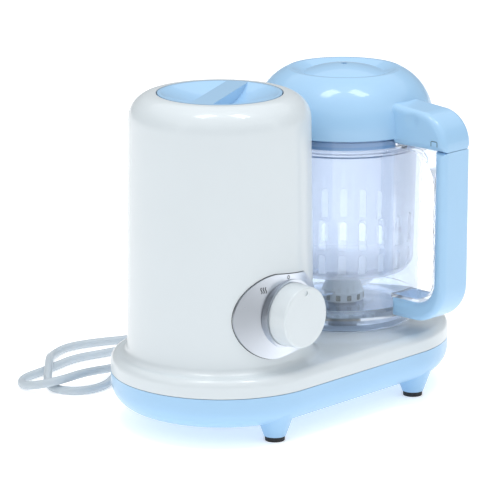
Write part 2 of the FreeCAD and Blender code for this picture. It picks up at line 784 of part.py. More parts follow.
steam_tube = turned("steam_tube",
                    tube("steam_bore", NOZZLE_RADIUS, "0", "%s - %s" % (NOZZLE_BACK, TUBE_START)),
                    (TUBE_START, AXIS_Y, "steam_height"), TO_RIGHT)
steam_nozzle = turned("steam_nozzle", [
    ("steam_bore", "0"),
    ("nozzle_flange_radius", "0"),
    ("nozzle_flange_radius", "nozzle_flange"),
    (NOZZLE_RADIUS, "nozzle_flange"),
    (NOZZLE_RADIUS, "%s + nozzle_proud - %s" % (WALL_X, NOZZLE_BACK)),
    ("steam_bore", "%s + nozzle_proud - %s" % (WALL_X, NOZZLE_BACK)),
], (NOZZLE_BACK, AXIS_Y, "steam_height"), TO_RIGHT)

# Filler cap with its grip bar and its gasket
CAP_BELLY = "(tower_height - cap_bowl - cap_thick)"
BOWL_RADIUS = "(((cap_radius - cap_rim)^2 + cap_bowl^2) / (2 * cap_bowl))"
cap_shape = turned("cap_shape", [
    ("0", CAP_BELLY),
    ("cap_plug_radius - plug_wall", CAP_BELLY),
    ("cap_plug_radius - plug_wall", CAP_FLOOR + " - cap_plug_length"),
    ("cap_plug_radius", CAP_FLOOR + " - cap_plug_length"),
    ("cap_plug_radius", CAP_FLOOR),
    ("cap_radius", CAP_FLOOR),
    ("cap_radius", "tower_height"),
    ("cap_radius - cap_rim", "tower_height", BOWL_RADIUS, "right"),
    ("0", "tower_height - cap_bowl"),
], TOWER)
GRIP_REACH = "(cap_radius - cap_rim)"
GRIP_SIDE = "(cap_grip_width / 2)"
ALONG = "cos(cap_grip_turn * 1 deg)"
ACROSS = "sin(cap_grip_turn * 1 deg)"
grip = block("cap_grip", "2 * " + GRIP_REACH, "cap_grip_width", "cap_bowl + cap_thick / 2", raised(BASE, "0"))
place(grip, (
    "%s - %s * %s + %s * %s" % (TOWER_X, GRIP_REACH, ALONG, GRIP_SIDE, ACROSS),
    "%s - %s * %s - %s * %s" % (AXIS_Y, GRIP_REACH, ACROSS, GRIP_SIDE, ALONG),
    "tower_height - cap_bowl - cap_thick / 2",
), Rotation(Vector(0, 0, 1), number("cap_grip_turn")))
grip.setExpression("Placement.Rotation.Angle", bind("cap_grip_turn * 1 deg"))
GRIP_FOOT = CAP_FLOOR + " + cap_thick / 2"
grip_limit = turned("grip_limit", [
    ("0", CAP_BELLY),
    ("cap_plug_radius - plug_wall / 2", CAP_BELLY),
    ("cap_plug_radius - plug_wall / 2", GRIP_FOOT),
    ("cap_radius - cap_rim / 2", GRIP_FOOT),
    ("cap_radius - cap_rim / 2", "tower_height"),
    ("0", "tower_height"),
], TOWER)
tank_cap = fuse("tank_cap", [cap_shape, common("grip_bar", [grip, grip_limit])])
cap_gasket = turned("cap_gasket",
                    tube("cap_plug_radius + moving_gap", "cap_plug_radius + moving_gap + gasket_width",
                    NECK_TOP + " + running_gap", NECK_TOP + " + gasket_thick"), TOWER)

# Motor on its bracket
CORE_FOOT = "(%s + core_lift)" % RIB_FOOT
CORE_TOP = "(%s + core_height)" % CORE_FOOT
END_FOOT = "(%s + commutator_height + 2 * end_frame_thick)" % CORE_TOP
POST_CIRCLE = "((core_side / 2 - post_radius) * sqrt(2))"
bracket_posts = around("bracket_post", lambda name, spot: rod(name, "post_radius", "core_lift", spot),
                       POST_CIRCLE, TOWER, RIB_FOOT)
bracket_disc = rod("bracket_disc", "bracket_radius", "bracket_thick", raised(TOWER, "bracket_height"))
motor_bracket = cut("motor_bracket", fuse("bracket_whole", [bracket_disc] + bracket_posts), [
    rod("bracket_bore", "bearing_radius", "3 * bracket_thick",
        raised(TOWER, "bracket_height - bracket_thick")),
] + around("bracket_hole", lambda name,
           spot: rod(name, "screw_radius + thread_gap", "3 * bracket_thick", spot),
           "rib_circle", TOWER, "bracket_height - bracket_thick"))
bracket_screws = group("bracket_screws", [
    fuse(shank.Name + "_screw", [shank, head]) for shank, head in zip(
        around("bracket_shank", lambda name,
               spot: rod(name, "screw_radius", "bracket_thick + rib_length / 3", spot),
               "rib_circle", TOWER, "bracket_height"),
        around("bracket_head", lambda name, spot: rod(name, "screw_head_radius", "screw_head", spot),
               "rib_circle", TOWER, "bracket_height - screw_head"))
])
motor_core = cut("motor_core",
                 block("core_block", "core_side", "core_side", "core_height", raised(TOWER, CORE_FOOT)), [
    rod("core_hole", "core_bore", "3 * core_height", raised(TOWER, CORE_FOOT + " - core_height")),
])
field_coils = group("field_coils", [
    block("field_coil_%s" % name, "coil_thick", "coil_width", "coil_thick",
          ("%s %s (core_side + coil_thick) / 2" % (TOWER_X, sign), AXIS_Y,
           CORE_FOOT + " + (core_height - coil_thick) / 2"))
    for name, sign in (("left", "-"), ("right", "+"))
])
end_posts = around("end_post", lambda name,
                   spot: rod(name, "post_radius", "%s - %s" % (END_FOOT, CORE_TOP), spot),
                   POST_CIRCLE, TOWER, CORE_TOP)
end_plate = block("end_plate", "core_side", "core_side", "end_frame_thick", raised(TOWER, END_FOOT))
BRUSH_FOOT = "(%s + end_frame_thick)" % CORE_TOP
BRUSH_SPOTS = [("left", "-"), ("right", "+")]
BRUSH_MIDDLE = "(commutator_radius + moving_gap + brush_length / 2)"
brush_arms = [
    block("brush_arm_%s" % name, "brush_length / 2", "brush_side", END_FOOT + " - brush_side - " + BRUSH_FOOT,
          ("%s %s (%s + brush_length / 4)" % (TOWER_X, sign, BRUSH_MIDDLE), AXIS_Y,
           BRUSH_FOOT + " + brush_side"))
    for name, sign in BRUSH_SPOTS
]
motor_end_frame = cut("motor_end_frame", fuse("end_whole", [end_plate] + end_posts + brush_arms), [
    rod("end_bore", "bearing_radius", "3 * end_frame_thick", raised(TOWER, END_FOOT + " - end_frame_thick")),
])
carbon_brushes = group("carbon_brushes", [
    block("brush_%s" % name, "brush_length", "brush_side", "brush_side",
          ("%s %s %s" % (TOWER_X, sign, BRUSH_MIDDLE), AXIS_Y, BRUSH_FOOT))
    for name, sign in BRUSH_SPOTS
])
BEARING = tube("shaft_radius + running_gap", "bearing_radius", "0", "bearing_height")
motor_bearings = group("motor_bearings", [
    turned("low_bearing", BEARING, raised(TOWER, "bracket_height + bracket_thick - bearing_height")),
    turned("high_bearing", BEARING, raised(TOWER, END_FOOT)),
])
motor_shaft = rod("motor_shaft", "shaft_radius", END_FOOT + " + bearing_height + pulley_flange - shaft_foot",
                  raised(TOWER, "shaft_foot"))
rotor_core = turned("rotor_core", tube("shaft_radius", "core_bore - air_gap", CORE_FOOT, CORE_TOP), TOWER)
commutator = turned("commutator", tube("shaft_radius", "commutator_radius", CORE_TOP + " + moving_gap",
                    CORE_TOP + " + moving_gap + commutator_height"), TOWER)
FAN_FOOT = "(%s + (core_lift - fan_height) / 2)" % RIB_FOOT
fan_hub = turned("fan_hub", tube("shaft_radius", "fan_hub_radius", FAN_FOOT, FAN_FOOT + " + fan_height"),
                 TOWER)
fan_disc = turned("fan_disc",
                  tube("shaft_radius", "fan_radius", FAN_FOOT, FAN_FOOT + " + fan_blade_thick"), TOWER)
fan_vanes = []
for index in range(int(number("fan_blades"))):
    turn = "(%d * 360 / fan_blades * 1 deg)" % index
    vane = primitive("Box", "fan_vane_%d" % index, {
        "Length": "fan_radius - fan_hub_radius + fan_blade_thick / 2",
        "Width": "fan_blade_thick",
        "Height": "fan_height",
    }, TOWER)
    inner = "(fan_hub_radius - fan_blade_thick)"
    place(vane,
          ("%s + %s * cos%s" % (TOWER_X, inner, turn), "%s + %s * sin%s" % (AXIS_Y, inner, turn), FAN_FOOT),
          Rotation(Vector(0, 0, 1), number(turn)))
    vane.setExpression("Placement.Rotation.Angle", bind(turn))
    fan_vanes.append(vane)
cooling_fan = fuse("cooling_fan", [fan_hub, fan_disc] + fan_vanes)


# Belt drive in the base
def pulley(name, radius, bore, spot):
    low = "(belt_height - pulley_flange)"
    high = "(belt_height + belt_width + belt_gap + pulley_flange)"
    return turned(name, [
        (bore, low),
        (radius + " + pulley_lip", low),
        (radius + " + pulley_lip", "belt_height"),
        (radius, "belt_height"),
        (radius, high + " - pulley_flange"),
        (radius + " + pulley_lip", high + " - pulley_flange"),
        (radius + " + pulley_lip", high),
        (bore, high),
    ], spot)


drive_pulley = pulley("drive_pulley", "small_pulley_radius", "shaft_radius", TOWER)
driven_pulley = pulley("driven_pulley", "large_pulley_radius", "spindle_radius", JAR)


def belt_loop(name, gap, low, tall):
    """Solid inside a loop that runs round both pulleys at a gap."""
    small = "(small_pulley_radius + %s)" % gap
    large = "(large_pulley_radius + %s)" % gap
    lean = "((large_pulley_radius - small_pulley_radius) / axle_span)"
    rise = "sqrt(1 - %s^2)" % lean
    left = "(-axle_span / 2 - %s * %s)" % (small, lean)
    right = "(axle_span / 2 - %s * %s)" % (large, lean)
    return padded(name, "XY_Plane", [
        (left, "-%s * %s" % (small, rise)),
        (right, "-%s * %s" % (large, rise), large, "left"),
        ("axle_span / 2 + " + large, "0", large, "left"),
        (right, "%s * %s" % (large, rise)),
        (left, "%s * %s" % (small, rise), small, "left"),
        ("-axle_span / 2 - " + small, "0", small, "left"),
    ], tall, raised(BASE, low))


drive_belt = cut(
    "drive_belt",
    belt_loop("belt_outside", "(belt_gap + belt_thick)", "belt_height + belt_gap / 2", "belt_width"),
    [belt_loop("belt_inside", "belt_gap", "belt_height - belt_width", "3 * belt_width")])

# Jar spindle with its dog clutch
SEAL_TOP = "(%s + lip_seal_height)" % HUB_TOP
DOG_FOOT = "(%s + moving_gap)" % SEAL_TOP
DOG_SEAT = "(%s + dog_flange)" % DOG_FOOT
spindle_bush = turned("spindle_bush",
                      tube("spindle_radius + running_gap", BUSH_RADIUS, HUB_FOOT, HUB_TOP), JAR)
lip_seal = turned("lip_seal",
                  tube("spindle_radius + moving_gap", "spindle_radius + moving_gap + lip_seal_width",
                  HUB_TOP, SEAL_TOP), JAR)
drive_spindle = rod("drive_spindle", "spindle_radius", DOG_SEAT + " - shaft_foot", raised(JAR, "shaft_foot"))
drive_dog = fuse("drive_dog", [
    turned("dog_plate", tube("spindle_radius", "dog_flange_radius", DOG_FOOT, DOG_SEAT), JAR),
    block("dog_bar", "dog_length", "dog_width", "dog_height", raised(JAR, DOG_SEAT)),
])
spindle_clip = turned("spindle_clip",
                      tube("spindle_radius", "clip_radius", HUB_FOOT + " - moving_gap - clip_thick",
                      HUB_FOOT + " - moving_gap"), JAR)

# Safety switch that the seated jar presses
plunger_stem = rod("plunger_stem", "plunger_radius", "plunger_length",
                   raised(PLUNGER, PLUNGER_TOP + " - plunger_length"))
plunger_ring = rod("plunger_ring", "plunger_collar_radius", "plunger_collar",
                   raised(PLUNGER, "deck_height - shell - plunger_collar_drop - plunger_collar"))
interlock_plunger = fuse("interlock_plunger", [plunger_stem, plunger_ring])
interlock_switch = block("interlock_switch", "micro_length", "micro_width", "micro_height",
                         raised(PLUNGER, MICRO_FOOT))

# Control board behind the boiler
control_board = block("control_board", "board_width", "board_thick", "board_height",
                      (TOWER_X, BOARD_Y, "board_foot"))
board_parts = group("board_parts", [
    block("relay", "relay_width", "relay_depth", "relay_height",
          (TOWER_X + " - board_width / 5", BOARD_Y + " - (board_thick + relay_depth) / 2",
           "board_foot + board_thick")),
    rod("capacitor", "capacitor_radius", "capacitor_length",
        (TOWER_X + " + board_width / 5", BOARD_Y + " - board_thick / 2", "board_foot + board_width / 5"),
        TO_FRONT),
])

# Jar vessel with its handle web
JAR_FOOT = "(deck_height + seat_gap)"
JAR_FLOOR = "(jar_floor_height + jar_wall)"
LEDGE = "(jar_ledge_height + jar_wall)"
RIM_BORE = "(jar_rim_radius - jar_wall)"
vessel = turned("vessel", [
    ("jar_bush_radius", "jar_floor_height"),
    ("jar_foot_radius - jar_wall", "jar_floor_height"),
    ("jar_foot_radius - jar_wall", JAR_FOOT),
    ("jar_foot_radius", JAR_FOOT),
    ("jar_foot_radius", JAR_FOOT + " + jar_foot_height"),
    ("jar_low_radius", "jar_low_height"),
    ("jar_radius", "jar_ledge_height"),
    ("jar_rim_radius", "jar_ledge_height + jar_rim_radius - jar_radius"),
    ("jar_rim_radius", "jar_top"),
    (RIM_BORE, "jar_top"),
    (RIM_BORE, LEDGE),
    ("jar_radius - jar_wall", LEDGE),
    ("jar_low_radius - jar_wall", "jar_low_height + jar_wall"),
    ("jar_foot_radius - jar_wall", JAR_FLOOR),
    ("jar_bush_radius", JAR_FLOOR),
], JAR)
ARM_TOP = "(handle_foot + handle_arm)"
GRIP = "(handle_reach - handle_thick)"
BEND_Y = "(handle_reach - handle_bend)"
BEND_Z = "(%s + handle_bend - handle_thick)" % ARM_TOP
LINER = "(%s - cover_gap)" % GRIP
INNER = "(%s - web_thick)" % LINER
LINER_BEND = "(handle_bend - handle_thick - cover_gap)"
handle_web = padded("handle_web", "YZ_Plane", [
    ("-web_root", ARM_TOP + " + cover_gap"),
    ("-" + BEND_Y, ARM_TOP + " + cover_gap", LINER_BEND, "right"),
    ("-" + LINER, BEND_Z),
    ("-" + LINER, "handle_top"),
    ("-(jar_rim_radius - jar_wall / 2)", "handle_top"),
    ("-(jar_rim_radius - jar_wall / 2)", "handle_top - web_thick"),
    ("-(%s - web_corner)" % INNER, "handle_top - web_thick", "web_corner", "left"),
    ("-" + INNER, "handle_top - web_thick - web_corner"),
    ("-" + INNER, BEND_Z, LINER_BEND + " - web_thick", "left"),
    ("-" + BEND_Y, ARM_TOP + " + cover_gap + web_thick"),
    ("-web_root", ARM_TOP + " + cover_gap + web_thick"),
], "web_width", JAR, True)
jar_vessel = fuse("jar_vessel", [vessel, handle_web])
handle_cover = padded("handle_cover", "YZ_Plane", [
    ("-handle_root", "handle_foot"),
    ("-" + BEND_Y, "handle_foot", "handle_bend", "right"),
    ("-handle_reach", "handle_foot + handle_bend"),
    ("-handle_reach", "handle_top"),
    ("-" + GRIP, "handle_top"),
    ("-" + GRIP, BEND_Z, "handle_bend - handle_thick", "left"),
    ("-" + BEND_Y, ARM_TOP),
    ("-handle_root", ARM_TOP),
], "handle_width", JAR, True)
soften(handle_cover, "handle_round", on_sides)
jar_bush = turned("jar_bush", tube("blade_shaft_radius + running_gap", "jar_bush_radius", "jar_floor_height",
                  JAR_FLOOR + " + jar_bush_drop"), JAR)

# Blade unit that stands in the jar
HUB_LOW = "(%s + jar_bush_drop + moving_gap)" % JAR_FLOOR
BLADE_LOW = "(%s + blade_rise)" % HUB_LOW
SOCKET_LOW = "(%s + moving_gap)" % DOG_SEAT
SOCKET_HIGH = "(jar_floor_height - moving_gap)"
SLOT_TOP = "(%s + dog_height + moving_gap)" % DOG_SEAT
cutting_blade = padded("cutting_blade", "XY_Plane", [
    ("blade_reach", "0"),
    ("blade_reach / 2", "blade_width / 2"),
    ("-blade_reach / 2", "blade_width / 2"),
    ("-blade_reach", "0"),
    ("-blade_reach / 2", "-blade_width / 2"),
    ("blade_reach / 2", "-blade_width / 2"),
], "blade_thick", raised(JAR, BLADE_LOW))
blade_shaft = rod("blade_shaft", "blade_shaft_radius", "%s - %s" % (BLADE_LOW, SLOT_TOP),
                  raised(JAR, SLOT_TOP))
hub_shape = turned("hub_shape", [
    ("blade_shaft_radius", HUB_LOW),
    ("hub_radius", HUB_LOW),
    ("hub_radius", HUB_LOW + " + blade_rise"),
    ("hub_top_radius", HUB_LOW + " + hub_height"),
    ("0", HUB_LOW + " + hub_height"),
    ("0", BLADE_LOW),
    ("blade_shaft_radius", BLADE_LOW),
], JAR)
blade_hub = cut("blade_hub", hub_shape, [cutting_blade])
blade_socket = cut("blade_socket", rod("socket_round", "socket_radius", "%s - %s" % (SOCKET_HIGH, SOCKET_LOW),
                   raised(JAR, SOCKET_LOW)), [
    block("socket_slot", "dog_length + 2 * dog_gap", "dog_width + 2 * dog_gap",
          "%s - %s + dog_flange" % (SLOT_TOP, SOCKET_LOW),
          raised(JAR, SOCKET_LOW + " - dog_flange")),
    blade_shaft,
])

# Lid with its arm over the handle
LID_FOOT = "(jar_top + lid_gap)"
PLUG_RADIUS = "(%s - lid_seal_width - lid_gap)" % RIM_BORE
BUTTON = "(lid_rim_radius - lid_rim_width - lid_channel_width)"
CHANNEL = "(lid_top - lid_channel_depth)"
LID_CEILING = "(%s - lid_wall)" % CHANNEL
CEILING_REACH = "sqrt((lid_dome_radius - lid_wall)^2 - (%s - lid_shoulder)^2)" % LID_CEILING
CEILING_RADIUS = "(lid_radius - lid_dome_radius + %s)" % CEILING_REACH
lid_skin = turned("lid_skin", [
    ("0", LID_FOOT),
    ("lid_radius", LID_FOOT),
    ("lid_radius", "lid_shoulder", "lid_dome_radius", "left"),
    ("lid_rim_radius", "lid_top"),
    ("lid_rim_radius - lid_rim_width", "lid_top"),
    (BUTTON, CHANNEL, "(%s^2 + lid_button_rise^2) / (2 * lid_button_rise)" % BUTTON, "left"),
    ("0", CHANNEL + " + lid_button_rise"),
], JAR)
lid_arm = padded("lid_arm", "YZ_Plane", [
    ("-arm_root", LID_FOOT + " + lid_wall"),
    ("-(jar_rim_radius + 3 * lid_gap)", LID_FOOT + " + lid_wall"),
    ("-(jar_rim_radius + 3 * lid_gap)", "handle_top + lid_gap"),
    ("-handle_reach", "handle_top + lid_gap"),
    ("-handle_reach", "arm_slope", "arm_nose", "right"),
    ("-(handle_reach - arm_nose)", "arm_slope + arm_nose"),
    ("-arm_root", "arm_top"),
], "arm_width", JAR, True)
NOSE = number("arm_nose - handle_reach")
soften(lid_arm, "arm_round", lambda box: on_sides(box) and box.YMin < NOSE + TINY)
lid_cavity = turned("lid_cavity", [
    ("0", LID_FOOT + " - lid_wall"),
    ("lid_radius - lid_wall", LID_FOOT + " - lid_wall"),
    ("lid_radius - lid_wall", "lid_shoulder", "lid_dome_radius - lid_wall", "left"),
    (CEILING_RADIUS, LID_CEILING),
    ("0", LID_CEILING),
], JAR)
lid_plug = turned("lid_plug", [
    (PLUG_RADIUS + " - lid_plug_wall", LID_FOOT + " - lid_plug_depth"),
    (PLUG_RADIUS, LID_FOOT + " - lid_plug_depth"),
    (PLUG_RADIUS, LID_FOOT),
    ("lid_radius - lid_wall / 2", LID_FOOT),
    ("lid_radius - lid_wall / 2", LID_FOOT + " + lid_wall"),
    (PLUG_RADIUS + " - lid_plug_wall", LID_FOOT + " + lid_wall"),
], JAR)
lid_shell = cut("lid_shell", fuse("lid_solid", [lid_skin, lid_arm]), [lid_cavity])
jar_lid = cut("jar_lid", fuse("lid_whole", [lid_shell, lid_plug]), [
    rod("lid_port", "lid_port_radius", "2 * lid_wall",
        (JAR_X + " - lid_radius - lid_wall / 2", AXIS_Y, "steam_height"), TO_RIGHT),
    rod("lid_vent", "lid_vent_radius", "lid_top", raised(JAR, LID_CEILING + " - lid_wall")),
])
SEAL_FOOT = "(%s - (lid_plug_depth + lid_seal_height) / 2)" % LID_FOOT
lid_seal = turned("lid_seal", tube(PLUG_RADIUS, PLUG_RADIUS + " + lid_seal_width", SEAL_FOOT,
                  SEAL_FOOT + " + lid_seal_height"), JAR)

# Steam basket that hangs on the jar's inner ledge
HANG = "(%s + seat_gap / 2)" % LEDGE
steam_basket = turned("steam_basket", [
    ("0", "basket_floor"),
    ("basket_radius - basket_round", "basket_floor", "basket_round", "left"),
    ("basket_radius", "basket_floor + basket_round"),
    ("basket_top_radius", HANG),
    (RIM_BORE + " - basket_flange_gap", HANG),
    (RIM_BORE + " - basket_flange_gap", HANG + " + basket_flange"),
    ("basket_top_radius - basket_wall", HANG + " + basket_flange"),
    ("basket_radius - basket_wall", "basket_floor + basket_round", "basket_round - basket_wall", "right"),
    ("basket_radius - basket_round", "basket_floor + basket_wall"),
    ("0", "basket_floor + basket_wall"),
], JAR)


def slot_row(piece, name, foot, top):
    """Ring of upright slots with round tops through the basket's wall."""
    doc.recompute()
    before = piece.Shape.Volume
    half = "slot_width / 2"
    drawing = sketch(piece, name + "_outline", "XZ_Plane", [
        ("-" + half, foot),
        (half, foot),
        (half, "%s - %s" % (top, half), half, "left"),
        ("0", top, half, "left"),
        ("-" + half, "%s - %s" % (top, half)),
    ])
    slot = piece.newObject("PartDesign::Pocket", name)
    slot.Profile = drawing
    slot.setExpression("Length", bind("jar_radius"))
    doc.recompute()
    ring = piece.newObject("PartDesign::PolarPattern", name + "_ring")
    ring.Originals = [slot]
    ring.Axis = (drawing, ["V_Axis"])
    ring.Angle = 360
    ring.setExpression("Occurrences", bind("basket_slots"))
    piece.Tip = ring
    doc.recompute()
    if piece.Shape.Volume > before - TINY:
        raise RuntimeError(name + " cuts nothing")


slot_row(steam_basket, "upper_slots", "upper_slot_foot", "upper_slot_top")
slot_row(steam_basket, "lower_slots", "lower_slot_foot", "lower_slot_top")


# Mains lead: strain relief, two visible loops, a tied coil and the plug
def bend(centre, radius, first, last, heights):
    """Corners of a polygon round an arc; a tangent arc at each corner follows it."""
    count = len(heights)
    step = (last - first) / count
    reach = radius / math.cos(math.radians(step / 2))
    corners = []
    for index, height in enumerate(heights):
        angle = math.radians(first + step * (index + 0.5))
        corners.append((centre[0] + reach * math.cos(angle), centre[1] + reach * math.sin(angle), height))
    return corners


AXIS = number(AXIS_Y)
LEAD = number("lead_radius")
COIL_LIFT = number("lead_radius + tie_thick + tie_gap")
HUMP = 3.2 * LEAD
RELIEF_END = number(GLAND[1] + " + relief_length") - AXIS
LEAD_START = number(GLAND[1] + " - gland_flange") - AXIS
GLAND_X = -number("gland_across")
GLAND_Z = number("gland_height")
SWING = 21.5
COIL_X = number("coil_across")
COIL_Y = number("coil_behind")
COIL_R = number("coil_radius")
PITCH = number("coil_pitch")


def on_coil(angle, inset=0.0, rise=0.0):
    """Point on the coil, a distance inside its outer turn and above its level."""
    radians = math.radians(angle)
    radius = COIL_R - inset
    return (COIL_X + radius * math.cos(radians), COIL_Y + radius * math.sin(radians), COIL_LIFT + rise)


lead_route = [(GLAND_X, LEAD_START, GLAND_Z), (GLAND_X, RELIEF_END - 8, GLAND_Z)]
lead_route += bend((GLAND_X - SWING, RELIEF_END), SWING, 0, 90, [GLAND_Z - 2, GLAND_Z / 2])
lead_route += [(-64, 112, LEAD)]
lead_route += bend((-80, 132), SWING, 270, 135, [LEAD, LEAD, LEAD])
lead_route += [(-83, 159, HUMP), (-66, 176, HUMP), (-46, 196, LEAD), (-22, 206, LEAD), (4, 199, LEAD)]
lead_route += [(28, 186, LEAD), (54, 179.5, LEAD), (78, 177.6, COIL_LIFT), on_coil(88)]
tail_route = [on_coil(240, PITCH), on_coil(216, PITCH, LEAD), on_coil(196, PITCH / 2, PITCH)]
tail_route += [(56, 142, COIL_LIFT + PITCH), (43, 155, 2 * LEAD), (27, 165, LEAD), (6, 169, LEAD)]
tail_route += [(-14, 173, LEAD), (-38, 179, LEAD), (-62, 174, LEAD), (-86, 170, LEAD)]
tail_route += bend((-102, 151), SWING, 90, 270, [LEAD, LEAD, 1.6 * LEAD, HUMP])
tail_route += [(-89, 132, HUMP), (-65, 136, LEAD), (-41, 139, LEAD), (-21, 133, 2 * LEAD),
               (-4, 122, 4 * LEAD)]
PLUG_X = 14.0
PLUG_Y = 118.0
PLUG_Z = number("plug_lift")
tail_route += [(PLUG_X, PLUG_Y, PLUG_Z)]


def lead_tube(name, route):
    """Round lead along straight runs that tangent arcs join; prints its length and smallest bend."""
    points = [Vector(x, y + AXIS, z) for x, y, z in route]
    edges = []
    radii = []
    start = points[0]
    for before, corner, after in zip(points, points[1:], points[2:]):
        come = (corner - before).normalize()
        leave = (after - corner).normalize()
        back = 0.45 * min((corner - before).Length, (after - corner).Length)
        half_turn = come.getAngle(leave) / 2
        radii.append(back / math.tan(half_turn))
        first = corner - come * back
        last = corner + leave * back
        inward = (leave - come).normalize()
        middle = corner + inward * (radii[-1] / math.cos(half_turn) - radii[-1])
        edges.append(Part.makeLine(start, first))
        edges.append(Part.Arc(first, middle, last).toShape())
        start = last
    edges.append(Part.makeLine(start, points[-1]))
    path = Part.Wire(edges)
    heading = points[1] - points[0]
    section = Part.Wire([Part.makeCircle(LEAD, points[0], heading)])
    piece = doc.addObject("Part::Feature", name)
    piece.Shape = path.makePipeShell([section], True, False)
    piece.Placement = Placement()
    share = piece.Shape.Volume / (math.pi * LEAD ** 2 * path.Length)
    print("%s: %.0f mm long, smallest bend %.1f mm, volume share %.4f" % (name, path.Length, min(radii),
                                                                          share))
    print("  bends", " ".join("%.0f" % radius for radius in radii))
    return piece


mains_lead = lead_tube("mains_lead", lead_route)
mains_tail = lead_tube("mains_tail", tail_route)
COIL = ("coil_across", AXIS_Y + " + coil_behind", "0")
COIL_INSIDE = "(coil_radius - coil_pitch)"
COIL_FOOT = "(tie_thick + tie_gap)"
COIL_MIDDLE = "(%s + lead_radius)" % COIL_FOOT
COIL_TOP = "(%s + lead_radius)" % COIL_MIDDLE
lead_coil = turned("lead_coil", [
    (COIL_INSIDE, COIL_FOOT),
    ("coil_radius", COIL_FOOT, "lead_radius", "left"),
    ("coil_radius + lead_radius", COIL_MIDDLE, "lead_radius", "left"),
    ("coil_radius", COIL_TOP),
    (COIL_INSIDE, COIL_TOP, "lead_radius", "left"),
    (COIL_INSIDE + " - lead_radius", COIL_MIDDLE, "lead_radius", "left"),
], COIL)
TIE_X = "(coil_across + coil_radius - coil_pitch / 2)"
TIE_INSIDE = "(coil_pitch + 2 * lead_radius + 2 * tie_gap)"
coil_tie = cut("coil_tie", block("tie_outside", TIE_INSIDE + " + 2 * tie_thick", "tie_width",
               "2 * (lead_radius + tie_gap + tie_thick)", (TIE_X, COIL[1], "0")), [
    block("tie_inside", TIE_INSIDE, "3 * tie_width", "2 * (lead_radius + tie_gap)",
          (TIE_X, COIL[1], "tie_thick")),
])
cord_relief = turned("cord_relief", [
    ("lead_radius + running_gap", FLANGE_BACK + " - gland_flange"),
    ("gland_flange_radius", FLANGE_BACK + " - gland_flange"),
    ("gland_flange_radius", FLANGE_BACK),
    ("relief_radius", FLANGE_BACK),
    ("relief_radius", "0"),
    ("relief_tip_radius", "relief_length"),
    ("lead_radius + running_gap", "relief_length"),
], GLAND, TO_BACK)
PLUG = (str(PLUG_X), "%s + %s" % (AXIS_Y, PLUG_Y), "plug_lift")
power_plug = turned("power_plug", [
    ("lead_radius + running_gap", "-plug_neck_radius"),
    ("plug_neck_radius", "-plug_neck_radius"),
    ("plug_radius", "plug_length / 2"),
    ("plug_radius", "plug_length"),
    ("0", "plug_length"),
    ("0", "cover_gap"),
    ("lead_radius + running_gap", "cover_gap"),
], PLUG, TO_RIGHT)
plug_pins = group("plug_pins", [
    rod("pin_%s" % name, "pin_radius", "pin_length",
        ("%s + plug_length" % PLUG[0], "%s %s pin_spacing / 2" % (PLUG[1], sign), "plug_lift"), TO_RIGHT)
    for name, sign in (("near", "-"), ("far", "+"))
])

NODES = [
    upper_housing, bottom_cover, foot_pads, cover_screws, knob_bezel, rotary_switch, switch_nut, control_knob,
    knob_shaft, filler_neck, tank_spacers, boiler_tank, neck_gasket, heater_plate, thermostat, steam_tube,
    steam_nozzle, tank_cap, cap_gasket, motor_bracket, bracket_screws, motor_core, field_coils,
    motor_end_frame,
    carbon_brushes, motor_bearings, motor_shaft, rotor_core, commutator, cooling_fan, drive_pulley,
    driven_pulley,
    drive_belt, spindle_bush, lip_seal, drive_spindle, drive_dog, spindle_clip, interlock_plunger,
    interlock_switch, control_board, board_parts, jar_vessel, handle_cover, jar_bush, cutting_blade,
    blade_shaft,
    blade_hub, blade_socket, jar_lid, lid_seal, steam_basket, mains_lead, mains_tail, lead_coil, coil_tie,
    cord_relief, power_plug, plug_pins,
]

doc.recompute()
for piece in doc.Objects:
    if "Invalid" in piece.State or "Error" in piece.State:
        raise RuntimeError("%s failed: %s" % (piece.Name, piece.State))
os.makedirs("parts", exist_ok=True)
for node in NODES:
    node.Label = node.Name
    if node.Shape.isNull() or not node.Shape.isValid():
        raise RuntimeError(node.Label + " has no valid shape")
    node.Shape.exportStep("parts/%s.step" % node.Label)
    print("%-20s %3d solids %12.1f mm3" % (node.Label, len(node.Shape.Solids), node.Shape.Volume))
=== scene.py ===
# %% [markdown]
# # A countertop steamer and blender
# This lesson dresses a finished CAD model. The CAD frame already holds every rigid piece in metres, so the
# work here is the camera, the mains lead, the finishes and the small printed and moulded details.

# %% Load the frame
import json
import math

import bmesh
import bpy
from mathutils import Matrix, Vector
from mathutils.bvhtree import BVHTree


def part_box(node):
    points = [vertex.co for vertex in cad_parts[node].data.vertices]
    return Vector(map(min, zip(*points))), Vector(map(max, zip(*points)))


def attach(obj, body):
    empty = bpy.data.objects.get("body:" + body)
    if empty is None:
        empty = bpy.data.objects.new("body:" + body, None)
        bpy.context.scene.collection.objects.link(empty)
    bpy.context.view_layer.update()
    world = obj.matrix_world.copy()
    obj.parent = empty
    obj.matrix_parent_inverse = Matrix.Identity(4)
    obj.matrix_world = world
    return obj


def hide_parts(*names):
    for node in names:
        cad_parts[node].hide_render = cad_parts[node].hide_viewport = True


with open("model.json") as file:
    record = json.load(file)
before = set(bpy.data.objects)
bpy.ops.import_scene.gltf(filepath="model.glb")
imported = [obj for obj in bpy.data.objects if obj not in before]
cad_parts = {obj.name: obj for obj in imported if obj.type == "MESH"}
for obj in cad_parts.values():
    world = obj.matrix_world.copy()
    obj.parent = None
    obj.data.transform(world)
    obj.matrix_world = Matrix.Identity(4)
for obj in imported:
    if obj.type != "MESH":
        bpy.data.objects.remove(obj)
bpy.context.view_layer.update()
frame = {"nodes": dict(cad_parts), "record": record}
nodes = frame["nodes"]

# %% [markdown]
# ## Camera
# The view was solved from the object's own ellipses and edges, so its three axes are known as directions.
# A matrix built from them turns the camera exactly, where Euler angles would have to be worked out first.

